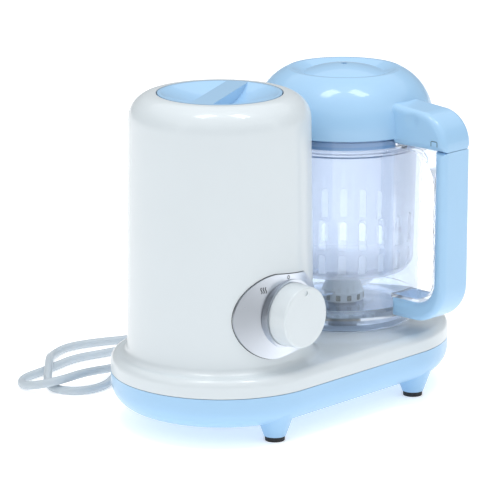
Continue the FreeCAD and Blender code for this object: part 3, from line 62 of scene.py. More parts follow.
# %% Camera at the photograph's viewpoint
EYE = Vector((-1.585189, -1.442647, 0.660456))
AIM = Vector((-0.031412, 0.017008, 0.117146))
LENS = 222.966
SENSOR = 36.0
Z = Vector((0, 0, 1))


def new_object(name, data):
    """Object that holds the data, linked into the scene."""
    made = bpy.data.objects.new(name, data)
    bpy.context.scene.collection.objects.link(made)
    return made


def make_camera():
    """Camera at the eye point, turned to the aim point and level with the table."""
    data = bpy.data.cameras.new("studio_camera")
    data.lens = LENS
    data.sensor_width = SENSOR
    data.clip_start = 0.05
    data.clip_end = 40.0
    back = (EYE - AIM).normalized()
    right = Z.cross(back).normalized()
    up = back.cross(right)
    turn = Matrix((right, up, back)).transposed()
    made = new_object("studio_camera", data)
    made.matrix_world = Matrix.Translation(EYE) @ turn.to_4x4()
    bpy.context.scene.camera = made
    return made


camera = make_camera()
print("camera: %.2f m from the object, lens %.0f mm" % ((EYE - AIM).length, camera.data.lens))

# %% [markdown]
# ## Mains lead
# The lead leaves the strain relief, drops to the table, lies in two loose loops and keeps its spare length in a
# tied coil. A rope simulation could find such a lay, but not these very loops, so the route's points are given one by
# one. Its places are in millimetres from the long axis of the base, and a round turn is given as the corners of a
# polygon.

# %% Arcs and coil
MM = 0.001
AXIS = 14.25
SHEATH = 3.15
COIL = (98.0, 140.0)
COIL_RADIUS = 38.0
COIL_PITCH = 6.6
COIL_LIFT = 4.25
COIL_STEP = 15
COIL_FIRST, COIL_LAST = 90, -470
SHIFT_FROM, SHIFT_OVER = -120, 150


def bend(centre, radius, first, last, heights):
    """Corners of a polygon round an arc, one for each height."""
    step = (last - first) / len(heights)
    reach = radius / math.cos(math.radians(step / 2))
    turns = [math.radians(first + step * (index + 0.5)) for index in range(len(heights))]
    return [(centre[0] + reach * math.cos(turn), centre[1] + reach * math.sin(turn), height)
            for turn, height in zip(turns, heights)]


def on_coil(angle, inset=0.0, rise=0.0):
    """Point on the coil, a distance inside its outer turn and above its level."""
    turn = math.radians(angle)
    radius = COIL_RADIUS - inset
    return (COIL[0] + radius * math.cos(turn), COIL[1] + radius * math.sin(turn), COIL_LIFT + rise)


def coil_turns():
    """One whole turn that moves in by a pitch, and most of a second one beside it."""
    spread = 1 / math.cos(math.radians(COIL_STEP / 2)) - 1
    points = []
    for angle in range(COIL_FIRST - COIL_STEP, COIL_LAST - 1, -COIL_STEP):
        share = min(max((SHIFT_FROM - angle) / SHIFT_OVER, 0.0), 1.0)
        inset = COIL_PITCH * share
        points.append(on_coil(angle, inset - (COIL_RADIUS - inset) * spread))
    return points


print("coil: %.0f mm across, %d corners" % (2 * COIL_RADIUS, len(coil_turns())))

# %% [markdown]
# The route is put together from stretches in the order in which a hand would lay them. Where one stretch crosses
# another, its points rise by a little more than the sheath is thick.

# %% Route of the lead
GLAND = (-34.0, 77.0, 24.0)
RELIEF_END = 99.0
PLUG = (14.0, 118.0, 17.2)
SWING = 21.5
HUMP = 3.2 * SHEATH
CROSSING = 3.5 * SHEATH
BRIDGE = COIL_PITCH + 1

out_and_down = [GLAND, (GLAND[0], RELIEF_END - 8, GLAND[2])]
out_and_down += bend((GLAND[0] - SWING, RELIEF_END), SWING, 0, 90, [GLAND[2] - 2, GLAND[2] / 2])
inner_loop = [(-64, 112, SHEATH)] + bend((-80, 132), SWING, 270, 135, [SHEATH] * 3)
inner_loop += [(-83, 159, HUMP), (-66, 176, HUMP)]
to_coil = [(-46, 196, SHEATH), (-22, 206, SHEATH), (4, 199, SHEATH), (28, 186, SHEATH), (54, 179.5, SHEATH),
           (78, 177.6, COIL_LIFT)]
off_coil = [on_coil(216, COIL_PITCH, SHEATH), on_coil(196, COIL_PITCH / 2, BRIDGE), (56, 142, COIL_LIFT + BRIDGE),
            (43, 155, 2 * SHEATH), (27, 165, SHEATH), (6, 169, SHEATH)]
outer_loop = [(-14, 173, SHEATH), (-38, 179, SHEATH), (-62, 174, SHEATH), (-80, 171, SHEATH)]
outer_loop += bend((-92, 147), SWING, 90, 270, [SHEATH, SHEATH, 2.2 * SHEATH, CROSSING])
outer_loop += [(-79, 127, CROSSING), (-60, 131, 2.6 * SHEATH), (-41, 135, 1.6 * SHEATH), (-21, 132, 2 * SHEATH)]
to_plug = [(-4, 122, 4 * SHEATH), PLUG]
route = out_and_down + inner_loop + to_coil + coil_turns() + off_coil + outer_loop + to_plug
print("route:", len(route), "control points")

# %% [markdown]
# One NURBS spline of order 3 runs through the whole route. A Bezier curve would need a pair of handles at each
# point. A quadratic NURBS rounds each corner of its polygon the way a real sheath does, and stays on the table
# where its points do.

# %% One curve along the route
def in_metres(point):
    return Vector((point[0] * MM, (point[1] + AXIS) * MM, point[2] * MM))


def make_lead(points):
    """Curve without thickness along the control points."""
    data = bpy.data.curves.new("mains_cord", "CURVE")
    data.dimensions = "3D"
    spline = data.splines.new("NURBS")
    spline.points.add(len(points) - 1)
    for knot, point in zip(spline.points, points):
        knot.co = (*in_metres(point), 1.0)
    spline.order_u = 3
    spline.use_endpoint_u = True
    data.resolution_u = 8
    data.render_resolution_u = 8
    return new_object("lead_route", data)


def plain_mesh(source):
    """Mesh that Blender makes of an object as it stands."""
    bpy.context.view_layer.update()
    return bpy.data.meshes.new_from_object(source.evaluated_get(bpy.context.evaluated_depsgraph_get()))


lead_route = make_lead(route)
line = [tuple(v.co) for v in plain_mesh(lead_route).vertices]

# %% [markdown]
# The route has no thickness yet. A round bevel makes the sheath, and the result is kept as a plain mesh, so that
# its box is known at once. Welding closes the tube where Blender leaves the end caps as separate discs.

# %% Sheath as one closed tube
WELD = 0.000001


def make_sheath(curve):
    """Closed tube round a curve, which it takes the place of."""
    curve.data.bevel_depth = SHEATH * MM
    curve.data.bevel_resolution = 5
    curve.data.use_fill_caps = True
    mesh = plain_mesh(curve)
    mesh.name = "mains_cord"
    weld = bmesh.new()
    weld.from_mesh(mesh)
    bmesh.ops.remove_doubles(weld, verts=weld.verts, dist=WELD)
    bmesh.ops.recalc_face_normals(weld, faces=weld.faces)
    weld.to_mesh(mesh)
    weld.free()
    bpy.data.objects.remove(curve)
    return new_object("mains_cord", mesh)


mains_cord = make_sheath(lead_route)
print("sheath:", len(mains_cord.data.polygons), "faces")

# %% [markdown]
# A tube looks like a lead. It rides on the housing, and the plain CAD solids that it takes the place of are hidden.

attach(mains_cord, "housing")
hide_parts("mains_lead", "mains_tail", "lead_coil")

# %% [markdown]
# ## Shared surface effects
# Surfaces of one kind share what makes them look real, so each kind gets one shader group, and a material only sets
# its amounts. A few helpers keep the groups short: they make a group, a node or a sum, and let noise vary a value.

# %% Helpers for node trees
FLOAT, COLOUR, VECTOR = "NodeSocketFloat", "NodeSocketColor", "NodeSocketVector"
SURFACE_OUT = [("Colour", COLOUR), ("Roughness", FLOAT), ("Height", FLOAT)]


def new_group(name, inputs, outputs):
    """Shader group, what it is given, what it returns, and the place on the object that it shades."""
    group = bpy.data.node_groups.new(name, "ShaderNodeTree")
    for label, kind, value in inputs:
        socket = group.interface.new_socket(name=label, in_out="INPUT", socket_type=kind)
        socket.default_value = value
    for label, kind in outputs:
        group.interface.new_socket(name=label, in_out="OUTPUT", socket_type=kind)
    given = group.nodes.new("NodeGroupInput").outputs
    result = group.nodes.new("NodeGroupOutput").inputs
    place = group.nodes.new("ShaderNodeTexCoord").outputs["Object"]
    return group, given, result, place


def add(tree, kind, **values):
    """Node with its settings and its unlinked sockets filled in."""
    node = tree.nodes.new(kind)
    for key, value in values.items():
        if hasattr(node, key):
            setattr(node, key, value)
        else:
            node.inputs[key].default_value = value
    return node


def maths(tree, operation, first, second):
    """Result of a sum on two numbers or sockets."""
    node = add(tree, "ShaderNodeMath", operation=operation)
    for socket, value in zip(node.inputs, (first, second)):
        if isinstance(value, (int, float)):
            socket.default_value = value
        else:
            tree.links.new(value, socket)
    return node.outputs[0]


def vary(tree, base, noise, amount):
    """Base value, moved up and down by a noise between 0 and 1."""
    return maths(tree, "ADD", base, maths(tree, "MULTIPLY", maths(tree, "SUBTRACT", noise, 0.5), amount))


def vary_colour(group, given, result, noise, amount):
    """Given colour to the group's result, made lighter and darker by a noise."""
    tint = group.nodes.new("ShaderNodeHueSaturation")
    group.links.new(vary(group, 1.0, noise, amount), tint.inputs["Value"])
    group.links.new(given["Colour"], tint.inputs["Color"])
    group.links.new(tint.outputs[0], result["Colour"])


print("a surface group returns:", ", ".join(label for label, _ in SURFACE_OUT))

# %% [markdown]
# Moulded plastic is never one even colour: the melt leaves faint clouds, the mould leaves a fine grain, and
# handling leaves the gloss a little uneven. Pictures could show this too, but noise needs no unwrapping and never
# repeats. One group makes all three.

# %% Group for moulded surfaces
def moulded_group():
    group, given, result, place = new_group("Moulded surface", [
        ("Colour", COLOUR, (0.8, 0.8, 0.8, 1)), ("Cloud", FLOAT, 0.03), ("Cloud scale", FLOAT, 20.0),
        ("Roughness", FLOAT, 0.3), ("Handling", FLOAT, 0.05), ("Grain scale", FLOAT, 900.0)], SURFACE_OUT)
    cloud = add(group, "ShaderNodeTexNoise", Detail=3.0, Roughness=0.5)
    touch = add(group, "ShaderNodeTexNoise", Scale=45.0, Detail=4.0, Roughness=0.65)
    grain = add(group, "ShaderNodeTexNoise", Detail=2.0, Roughness=0.6)
    link = group.links.new
    for noise in (cloud, touch, grain):
        link(place, noise.inputs["Vector"])
    link(given["Cloud scale"], cloud.inputs["Scale"])
    link(given["Grain scale"], grain.inputs["Scale"])
    vary_colour(group, given, result, cloud.outputs[0], given["Cloud"])
    link(vary(group, given["Roughness"], touch.outputs[0], given["Handling"]), result["Roughness"])
    link(grain.outputs[0], result["Height"])
    return group


moulded = moulded_group()
print("group:", moulded.name, "with", len(moulded.nodes), "nodes")

# %% [markdown]
# Metal shows how it was worked: drawn, turned and ground steel carry fine lines along one direction. The second
# group stretches its noise along an axis, so one setting changes polished trim into laminated core iron.

# %% Group for worked metal
def metal_group():
    group, given, result, place = new_group("Worked metal", [
        ("Colour", COLOUR, (0.6, 0.6, 0.6, 1)), ("Tarnish", FLOAT, 0.1), ("Roughness", FLOAT, 0.3),
        ("Uneven", FLOAT, 0.1), ("Line scale", FLOAT, 400.0), ("Stretch", FLOAT, 0.1)], SURFACE_OUT)
    squeeze = add(group, "ShaderNodeCombineXYZ", Z=1.0)
    mapping = group.nodes.new("ShaderNodeMapping")
    lines = add(group, "ShaderNodeTexNoise", Detail=3.0, Roughness=0.6)
    stain = add(group, "ShaderNodeTexNoise", Scale=60.0, Detail=4.0, Roughness=0.6)
    link = group.links.new
    link(given["Stretch"], squeeze.inputs["X"])
    link(given["Stretch"], squeeze.inputs["Y"])
    link(place, mapping.inputs["Vector"])
    link(squeeze.outputs[0], mapping.inputs["Scale"])
    link(mapping.outputs[0], lines.inputs["Vector"])
    link(given["Line scale"], lines.inputs["Scale"])
    link(place, stain.inputs["Vector"])
    vary_colour(group, given, result, stain.outputs[0], given["Tarnish"])
    link(vary(group, given["Roughness"], lines.outputs[0], given["Uneven"]), result["Roughness"])
    link(lines.outputs[0], result["Height"])
    return group


worked = metal_group()
print("group:", worked.name, "with", len(worked.nodes), "nodes")

# %% [markdown]
# ## Finishes
# Each finish is a Principled shader fed by one of the groups. It could be wired by hand in the shader editor, but
# every finish has the same wires, so one function lays them and tables hold only what differs.

# %% Colours and the common wiring
GRAIN_DEPTH = 0.0004
finish = {}


def linear(red, green, blue):
    """Scene colour of an sRGB colour."""
    return tuple(c / 12.92 if c <= 0.04045 else ((c + 0.055) / 1.055) ** 2.4 for c in (red, green, blue)) + (1.0,)


def fill(node, values):
    """Sets a node's inputs by name."""
    for key, value in values.items():
        node.inputs[key].default_value = value


def shader_of(material):
    return material.node_tree.nodes["Principled BSDF"]


def surface(name, group, bump, settings):
    """Material whose group drives colour, roughness and bump of a Principled shader."""
    material = bpy.data.materials.new(name)
    material.use_nodes = True
    tree = material.node_tree
    shader = shader_of(material)
    effect = add(tree, "ShaderNodeGroup", node_tree=group)
    fill(effect, settings)
    relief = add(tree, "ShaderNodeBump", Strength=bump, Distance=GRAIN_DEPTH)
    tree.links.new(effect.outputs["Colour"], shader.inputs["Base Color"])
    tree.links.new(effect.outputs["Roughness"], shader.inputs["Roughness"])
    tree.links.new(effect.outputs["Height"], relief.inputs["Height"])
    tree.links.new(relief.outputs[0], shader.inputs["Normal"])
    return material


print("mid grey in the scene: %.3f" % linear(0.5, 0.5, 0.5)[0])

# %% [markdown]
# The shells are glossy moulded plastic, the feet and seals are dull rubber, and the lead has a soft sheath. Gloss
# could come from a low roughness alone, but a clear coat over a rougher base keeps the soft shading under the
# highlight. The table gives each colour as the eye sees it.

# %% Opaque plastics and rubbers
COAT_ROUGHNESS = 0.04
PLASTICS = {
    # slot: colour, roughness, coat, cloud, grain scale, bump
    "white_shell": ((0.825, 0.86, 0.88), 0.42, 0.5, 0.03, 700, 0.015),
    "blue_shell": ((0.62, 0.785, 0.92), 0.42, 0.5, 0.05, 900, 0.02),
    "cream_plastic": ((0.88, 0.90, 0.89), 0.34, 0.1, 0.04, 800, 0.04),
    "grey_plastic": ((0.80, 0.83, 0.87), 0.40, 0.0, 0.06, 900, 0.05),
    "dark_plastic": ((0.17, 0.17, 0.18), 0.45, 0.0, 0.10, 900, 0.06),
    "pale_rubber": ((0.70, 0.82, 0.93), 0.55, 0.0, 0.06, 1200, 0.08),
    "black_rubber": ((0.13, 0.13, 0.14), 0.65, 0.0, 0.12, 1200, 0.10),
    "lead_sheath": ((0.74, 0.785, 0.82), 0.38, 0.0, 0.05, 1500, 0.05),
    "tie_plastic": ((0.86, 0.87, 0.89), 0.40, 0.0, 0.05, 1200, 0.05),
    "board_green": ((0.12, 0.36, 0.20), 0.30, 0.3, 0.10, 500, 0.05),
}
for slot, (colour, rough, coat, cloud, grain, bump) in PLASTICS.items():
    finish[slot] = surface(slot, moulded, bump, {
        "Colour": linear(*colour), "Cloud": cloud, "Roughness": rough, "Grain scale": grain})
    fill(shader_of(finish[slot]), {"Coat Weight": coat, "Coat Roughness": COAT_ROUGHNESS})
print("plastics:", ", ".join(PLASTICS))

# %% [markdown]
# Inside are the motor's iron and copper, the shafts, bushes and screws, and outside the plate behind the knob. They
# differ in colour, in gloss and in their working lines: a low stretch draws the lines out, and 1 leaves plain grain.

# %% Metals
METALS = {
    # slot: colour, roughness, tarnish, line scale, stretch, bump
    "polished_metal": ((0.75, 0.775, 0.81), 0.30, 0.05, 900, 0.05, 0.03),
    "screw_steel": ((0.80, 0.80, 0.82), 0.28, 0.15, 600, 1.0, 0.05),
    "shaft_steel": ((0.78, 0.79, 0.81), 0.24, 0.10, 900, 1.0, 0.05),
    "blade_steel": ((0.86, 0.87, 0.88), 0.20, 0.10, 1200, 0.08, 0.04),
    "core_steel": ((0.55, 0.56, 0.58), 0.42, 0.25, 900, 0.02, 0.25),
    "heater_alloy": ((0.80, 0.80, 0.81), 0.50, 0.15, 700, 1.0, 0.15),
    "copper": ((0.85, 0.56, 0.40), 0.32, 0.20, 1200, 0.05, 0.20),
    "bush_bronze": ((0.62, 0.60, 0.56), 0.36, 0.20, 800, 1.0, 0.06),
}
for slot, (colour, rough, tarnish, lines, stretch, bump) in METALS.items():
    finish[slot] = surface(slot, worked, bump, {
        "Colour": linear(*colour), "Tarnish": tarnish, "Roughness": rough, "Line scale": lines, "Stretch": stretch})
    fill(shader_of(finish[slot]), {"Metallic": 1.0})
print("metals:", ", ".join(METALS))

# %% [markdown]
# The plate behind the knob is spun metal: its fine lines run round the knob, and stretch every reflection into
# bright and dark sectors. Anisotropy stretches them, if its tangent runs the same way round. Crossing the spoke from
# the knob's centre with the knob's axis gives that direction. The sectors are also painted into the colour as a
# painted reflection: the spoke's angle darkens two opposite sectors and lightens the two between them, and this
# does not move with the view.

# %% Spun metal
KNOB_CENTRE = (-0.065, 0.0, 0.090)
KNOB_AXIS = (0, 1, 0)
# Angle and depth of a painted reflection: two dark and two bright sectors painted into the plate's colour.
PAINTED_DARK_SECTOR = math.radians(165)
PAINTED_SECTOR_DEPTH = 0.30
SPIN = 0.8


def spin_lines_and_paint_sectors(material):
    """Stretches a metal's reflections round the knob, and paints a reflection of two dark and two bright sectors into
    its colour.
    """
    tree = material.node_tree
    shader = shader_of(material)
    place = tree.nodes.new("ShaderNodeTexCoord")
    spoke = add(tree, "ShaderNodeVectorMath", operation="SUBTRACT")
    spoke.inputs[1].default_value = KNOB_CENTRE
    around = add(tree, "ShaderNodeVectorMath", operation="CROSS_PRODUCT")
    around.inputs[1].default_value = KNOB_AXIS
    plan = tree.nodes.new("ShaderNodeSeparateXYZ")
    shade = tree.nodes.new("ShaderNodeHueSaturation")
    for source, target in ((place.outputs["Object"], spoke.inputs[0]), (spoke.outputs[0], around.inputs[0]),
                           (spoke.outputs[0], plan.inputs[0]), (around.outputs[0], shader.inputs["Tangent"])):
        tree.links.new(source, target)
    # Painted reflection: the spoke's angle darkens two opposite sectors of the base colour and lightens the two
    # between them.
    angle = maths(tree, "ARCTAN2", plan.outputs["Z"], plan.outputs["X"])
    wave = maths(tree, "COSINE", maths(tree, "MULTIPLY", maths(tree, "SUBTRACT", angle, PAINTED_DARK_SECTOR), 2.0), 0.0)
    painted_reflection = maths(tree, "SUBTRACT", 1.0, maths(tree, "MULTIPLY", wave, PAINTED_SECTOR_DEPTH))
    tree.links.new(painted_reflection, shade.inputs["Value"])
    tree.links.new(shader.inputs["Base Color"].links[0].from_socket, shade.inputs["Color"])
    tree.links.new(shade.outputs[0], shader.inputs["Base Color"])
    fill(shader, {"Anisotropic": SPIN})


spin_lines_and_paint_sectors(finish["polished_metal"])
print("spun:", finish["polished_metal"].name)

# %% [markdown]
# ## Clear jar and frosted basket
# Both are real walls with two faces, so transmission bends the light by itself. Shadow rays pass straight through
# a share of the surface, because a clear jar lights its inside instead of shading it. Full caustics would do the
# same by tracing every ray, but they take far longer and leave noise.

# %% Clear and frosted plastics
EDGE_BLEND = 0.35
SEE_THROUGH = {
    "clear_plastic": {
        "bump": 0.01, "shader": {"Transmission Weight": 1.0, "IOR": 1.46},
        "surface": {"Colour": linear(0.905, 0.94, 0.99), "Cloud": 0.01, "Roughness": 0.03, "Handling": 0.02,
                    "Grain scale": 60.0},
        "through": {"tint": linear(0.98, 0.99, 1.0), "always": 0.10, "in_shadow": 0.80, "edge": 0.0}},
    "frosted_plastic": {
        "bump": 0.10, "shader": {"Transmission Weight": 0.60, "IOR": 1.35},
        "surface": {"Colour": linear(0.96, 0.975, 0.998), "Cloud": 0.03, "Roughness": 0.30, "Handling": 0.06,
                    "Grain scale": 1400.0},
        "through": {"tint": linear(0.995, 0.995, 0.998), "always": 0.80, "in_shadow": 0.90, "edge": 0.50}},
}


def let_light_through(material, tint, always, in_shadow, edge):
    """Mixes a Principled shader with a see-through one: more of it for shadow rays, and less at a grazing view."""
    tree = material.node_tree
    clear = add(tree, "ShaderNodeBsdfTransparent", Color=tint)
    path = tree.nodes.new("ShaderNodeLightPath")
    facing = add(tree, "ShaderNodeLayerWeight", Blend=EDGE_BLEND)
    mix = tree.nodes.new("ShaderNodeMixShader")
    rim = maths(tree, "SUBTRACT", 1.0, maths(tree, "MULTIPLY", facing.outputs["Facing"], edge))
    seen = maths(tree, "MULTIPLY", rim, always)
    share = maths(tree, "MULTIPLY", path.outputs["Is Shadow Ray"], in_shadow - always)
    tree.links.new(maths(tree, "ADD", share, seen), mix.inputs[0])
    tree.links.new(shader_of(material).outputs[0], mix.inputs[1])
    tree.links.new(clear.outputs[0], mix.inputs[2])
    tree.links.new(mix.outputs[0], tree.nodes["Material Output"].inputs["Surface"])


for slot, kind in SEE_THROUGH.items():
    finish[slot] = surface(slot, moulded, kind["bump"], kind["surface"])
    fill(shader_of(finish[slot]), kind["shader"])
    let_light_through(finish[slot], **kind["through"])
print("see-through finishes:", ", ".join(SEE_THROUGH))

# %% [markdown]
# The CAD record already says what each piece is made of. Reading the finish from it keeps picture and record in
# step, where a list of pieces written here would go out of date.

# %% Finish on every CAD node
slots = {part["node"]: part["material_slot"] for part in frame["record"]["subparts"]}
for name, piece in nodes.items():
    piece.data.materials.clear()
    piece.data.materials.append(finish[slots[name]])
mains_cord.data.materials.append(finish["lead_sheath"])
print("finished:", len(nodes), "nodes in", len(set(slots.values())), "slots")

# %% [markdown]
# ## Dial marks
# The plate behind the knob carries thin printed marks. Flat shapes are drawn as plan points, then each point is
# dropped on the real CAD surface by a ray, so the print follows the tower's curve and is seen right from any side.

# %% Printing on a CAD surface
INK_LIFT = 0.00012
RAY_START = 0.3
X, Y = Vector((1, 0, 0)), Vector((0, 1, 0))
FRONT = (X, Z, Y)
LEFT = (Y, Z, X)


def surface_tree(name):
    """Faces of a CAD node, sorted so that a ray finds them quickly."""
    mesh = nodes[name].data
    return BVHTree.FromPolygons([v.co.copy() for v in mesh.vertices], [tuple(p.vertices) for p in mesh.polygons])


def drop_on(tree, view, across, up):
    """Point just above a surface at a place in a plan, seen along the view's third direction."""
    hit, _, _, _ = tree.ray_cast(view[0] * across + view[1] * up - view[2] * RAY_START, view[2])
    if hit is None:
        raise RuntimeError("nothing lies behind %.4f, %.4f" % (across, up))
    return hit - view[2] * INK_LIFT


def along(path, index, closed):
    """Direction of a path at one of its points."""
    before = path[index - 1] if closed or index else path[index]
    after = path[(index + 1) % len(path)] if closed or index < len(path) - 1 else path[index]
    return Vector((after[0] - before[0], after[1] - before[1])).normalized()


def ribbon(name, tree, path, width, material, closed=False, view=FRONT):
    """Flat strip of a width along a path of plan points, laid on a surface."""
    count = len(path)
    vertices = []
    for index, (across, up) in enumerate(path):
        way = along(path, index, closed)
        for side in (-width / 2, width / 2):
            vertices.append(drop_on(tree, view, across - way.y * side, up + way.x * side))
    faces = [(2 * i, 2 * ((i + 1) % count), 2 * ((i + 1) % count) + 1, 2 * i + 1)
             for i in range(count if closed else count - 1)]
    mesh = bpy.data.meshes.new(name)
    mesh.from_pydata(vertices, [], faces)
    mesh.materials.append(material)
    return new_object(name, mesh)


finish["printed_ink"] = surface("printed_ink", moulded, 0.05, {
    "Colour": linear(0.20, 0.21, 0.23), "Cloud": 0.15, "Roughness": 0.5, "Grain scale": 2500.0})
bezel_face = surface_tree("knob_bezel")
tower_face = surface_tree("upper_housing")
print("ink lies %.2f mm above the surface" % (INK_LIFT / MM))

# %% [markdown]
# A small ring stands over the knob's off position, and three waves stand for steam. Text objects could draw them,
# but a font brings hundreds of points, and a ring and a sine need only a formula.

# %% Zero mark and steam waves
ZERO = (-0.0662, 0.1163)
ZERO_HALF = (0.0009, 0.0012)
ZERO_STROKE = 0.0005
ZERO_POINTS = 28
WAVE = (-0.0873, 0.1102)
WAVE_TALL = 0.0044
WAVE_APART = 0.0016
WAVE_SWING = 0.0004
WAVE_STROKE = 0.0007
WAVE_STEPS = 16

zero_path = [(ZERO[0] + ZERO_HALF[0] * math.cos(t), ZERO[1] + ZERO_HALF[1] * math.sin(t))
             for t in (2 * math.pi * i / ZERO_POINTS for i in range(ZERO_POINTS))]
marks = [ribbon("zero_mark", bezel_face, zero_path, ZERO_STROKE, finish["printed_ink"], True)]
for index in range(3):
    middle = WAVE[0] + (index - 1) * WAVE_APART
    shares = [step / WAVE_STEPS for step in range(WAVE_STEPS + 1)]
    wave = [(middle + WAVE_SWING * math.sin(2 * math.pi * s), WAVE[1] + WAVE_TALL * (s - 0.5)) for s in shares]
    marks.append(ribbon("steam_wave_%d" % index, bezel_face, wave, WAVE_STROKE, finish["printed_ink"]))
for mark in marks:
    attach(mark, "housing")
print("marks:", ", ".join(mark.name for mark in marks))

# %% [markdown]
# The metal plate is let into the tower, and the joint shows as a thin dark line round it. The same ribbon helper
# lays it on the white shell, along the plate's own outline, half a joint width outside its edge.

# %% Dark joint round the plate
PLATE_HALF = 0.0298
PLATE_SHIFT = 0.0115
PLATE_CORNERS = [(0.0178, -0.0263), (0.0400, -0.0090), (0.0400, 0.0090), (0.0178, 0.0263)]
ARC_STEPS, SIDE_STEPS = 40, 10
JOINT_WIDTH = 0.00035


def plate_outline():
    """Outline of the plate in the front plan, from its round end to its narrow one and back."""
    arc = [math.radians(90 + 180 * i / ARC_STEPS) for i in range(ARC_STEPS + 1)]
    path = [(-PLATE_SHIFT + PLATE_HALF * math.cos(t), PLATE_HALF * math.sin(t)) for t in arc]
    ends = [path[-1]] + PLATE_CORNERS + [path[0]]
    for (x0, z0), (x1, z1) in zip(ends, ends[1:]):
        path += [(x0 + (x1 - x0) * i / SIDE_STEPS, z0 + (z1 - z0) * i / SIDE_STEPS)
                 for i in range(1, SIDE_STEPS + 1)]
    return [(KNOB_CENTRE[0] + x, KNOB_CENTRE[2] + z) for x, z in path[:-1]]


def grow(path, width):
    """Same closed path, moved outwards."""
    ways = [along(path, index, True) for index in range(len(path))]
    return [(x + way.y * width, z - way.x * width) for (x, z), way in zip(path, ways)]


plate_joint = ribbon("plate_joint", tower_face, grow(plate_outline(), JOINT_WIDTH / 2), JOINT_WIDTH,
                     finish["dark_plastic"], True)
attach(plate_joint, "housing")
print("joint: %d faces" % len(plate_joint.data.polygons))

# %% [markdown]
# ## Arm of the lid
# Two details help to close the lid: a shallow dimple for the thumb, and a small tab of the handle that stands in a
# notch of the arm. The tab is flush, so only its joint shows, and the same ribbon draws it on the arm's side.

# %% Joint of the locating tab
TAB = ((-0.0867, -0.0812), (0.1912, 0.1980))
TAB_ROUND = 0.0006
TAB_STROKE = 0.0005
(tab_far, tab_near), (tab_low, tab_high) = TAB
tab_middle = (tab_low + tab_high) / 2
tab_path = [(tab_far, tab_low), (tab_far, tab_middle), (tab_far, tab_high - TAB_ROUND),
            (tab_far + TAB_ROUND, tab_high), (tab_near - TAB_ROUND, tab_high),
            (tab_near, tab_high - TAB_ROUND), (tab_near, tab_middle), (tab_near, tab_low)]
tab_joint = ribbon("tab_joint", surface_tree("jar_lid"), tab_path, TAB_STROKE, finish["dark_plastic"], view=LEFT)
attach(tab_joint, "lid")
print("tab: %.1f mm wide" % ((tab_near - tab_far) / MM))

# %% [markdown]
# The dimple is under a millimetre deep, too shallow to change the outline. A third group gives its height, a smooth
# hollow round a point, and a bump node turns the height into shading.

# %% Thumb dimple
DIMPLE = (0.0495, -0.0635, 0.2106)
DIMPLE_RADIUS = 0.0085
DIMPLE_DEPTH = 0.0009


def dimple_group():
    group, given, result, place = new_group(
        "Dimple", [("Radius", FLOAT, 0.01), ("Centre", VECTOR, (0, 0, 0))], [("Height", FLOAT)])
    reach = add(group, "ShaderNodeVectorMath", operation="DISTANCE")
    hollow = add(group, "ShaderNodeMapRange", interpolation_type="SMOOTHERSTEP")
    group.links.new(place, reach.inputs[0])
    group.links.new(given["Centre"], reach.inputs[1])
    share = maths(group, "DIVIDE", reach.outputs["Value"], given["Radius"])
    group.links.new(share, hollow.inputs["Value"])
    group.links.new(hollow.outputs[0], result["Height"])
    return group


def press_dimple(material):
    """Puts the dimple under the grain that a material already has."""
    tree = material.node_tree
    grain = next(node for node in tree.nodes if node.type == "BUMP")
    effect = add(tree, "ShaderNodeGroup", node_tree=dimple_group())
    fill(effect, {"Centre": DIMPLE, "Radius": DIMPLE_RADIUS})
    dent = add(tree, "ShaderNodeBump", Strength=1.0, Distance=DIMPLE_DEPTH)
    tree.links.new(effect.outputs["Height"], dent.inputs["Height"])
    tree.links.new(dent.outputs[0], grain.inputs["Normal"])


finish["lid_shell"] = finish["blue_shell"].copy()
finish["lid_shell"].name = "lid_shell"
press_dimple(finish["lid_shell"])
nodes["jar_lid"].data.materials[0] = finish["lid_shell"]
print("dimple: %.1f mm across" % (2 * DIMPLE_RADIUS / MM))

# %% [markdown]
# ## Windows round the blade hub
# The hub's skirt has a ring of small windows. Geometry Nodes sets them out: a circle gives the places, one rounded
# plate is put on each of them and turned to face outwards. The plates are painted shade: their dull dark colour
# stands for the shade inside each opening. A change of the count then needs one number.

# %% Tree that sets plates on a ring
RING_INPUTS = (("Count", "Int"), ("Radius", "Float"), ("Width", "Float"), ("Height", "Float"), ("Corner", "Float"),
               ("Place", "Vector"), ("Finish", "Material"))
RING_NODES = (
    ("given", "NodeGroupInput"), ("result", "NodeGroupOutput"), ("circle", "GeometryNodeMeshCircle"),
    ("plate", "GeometryNodeCurvePrimitiveQuadrilateral"), ("round", "GeometryNodeFilletCurve"),
    ("fill", "GeometryNodeFillCurve"), ("stand", "GeometryNodeTransform"), ("where", "GeometryNodeInputPosition"),
    ("split", "ShaderNodeSeparateXYZ"), ("angle", "ShaderNodeMath"), ("turn", "ShaderNodeCombineXYZ"),
    ("set", "GeometryNodeInstanceOnPoints"), ("move", "GeometryNodeTransform"),
    ("real", "GeometryNodeRealizeInstances"), ("paint", "GeometryNodeSetMaterial"))
RING_LINKS = (
    ("given", "Count", "circle", "Vertices"), ("given", "Radius", "circle", "Radius"),
    ("given", "Width", "plate", "Width"), ("given", "Height", "plate", "Height"),
    ("given", "Corner", "round", "Radius"), ("given", "Place", "move", "Translation"),
    ("given", "Finish", "paint", "Material"),
    ("plate", 0, "round", 0), ("round", 0, "fill", 0), ("fill", 0, "stand", 0), ("where", 0, "split", 0),
    ("split", "Y", "angle", 0), ("split", "X", "angle", 1), ("angle", 0, "turn", "Z"),
    ("circle", 0, "set", "Points"), ("stand", 0, "set", "Instance"), ("turn", 0, "set", "Rotation"),
    ("set", 0, "move", 0), ("move", 0, "real", 0), ("real", 0, "paint", 0), ("paint", 0, "result", 0))


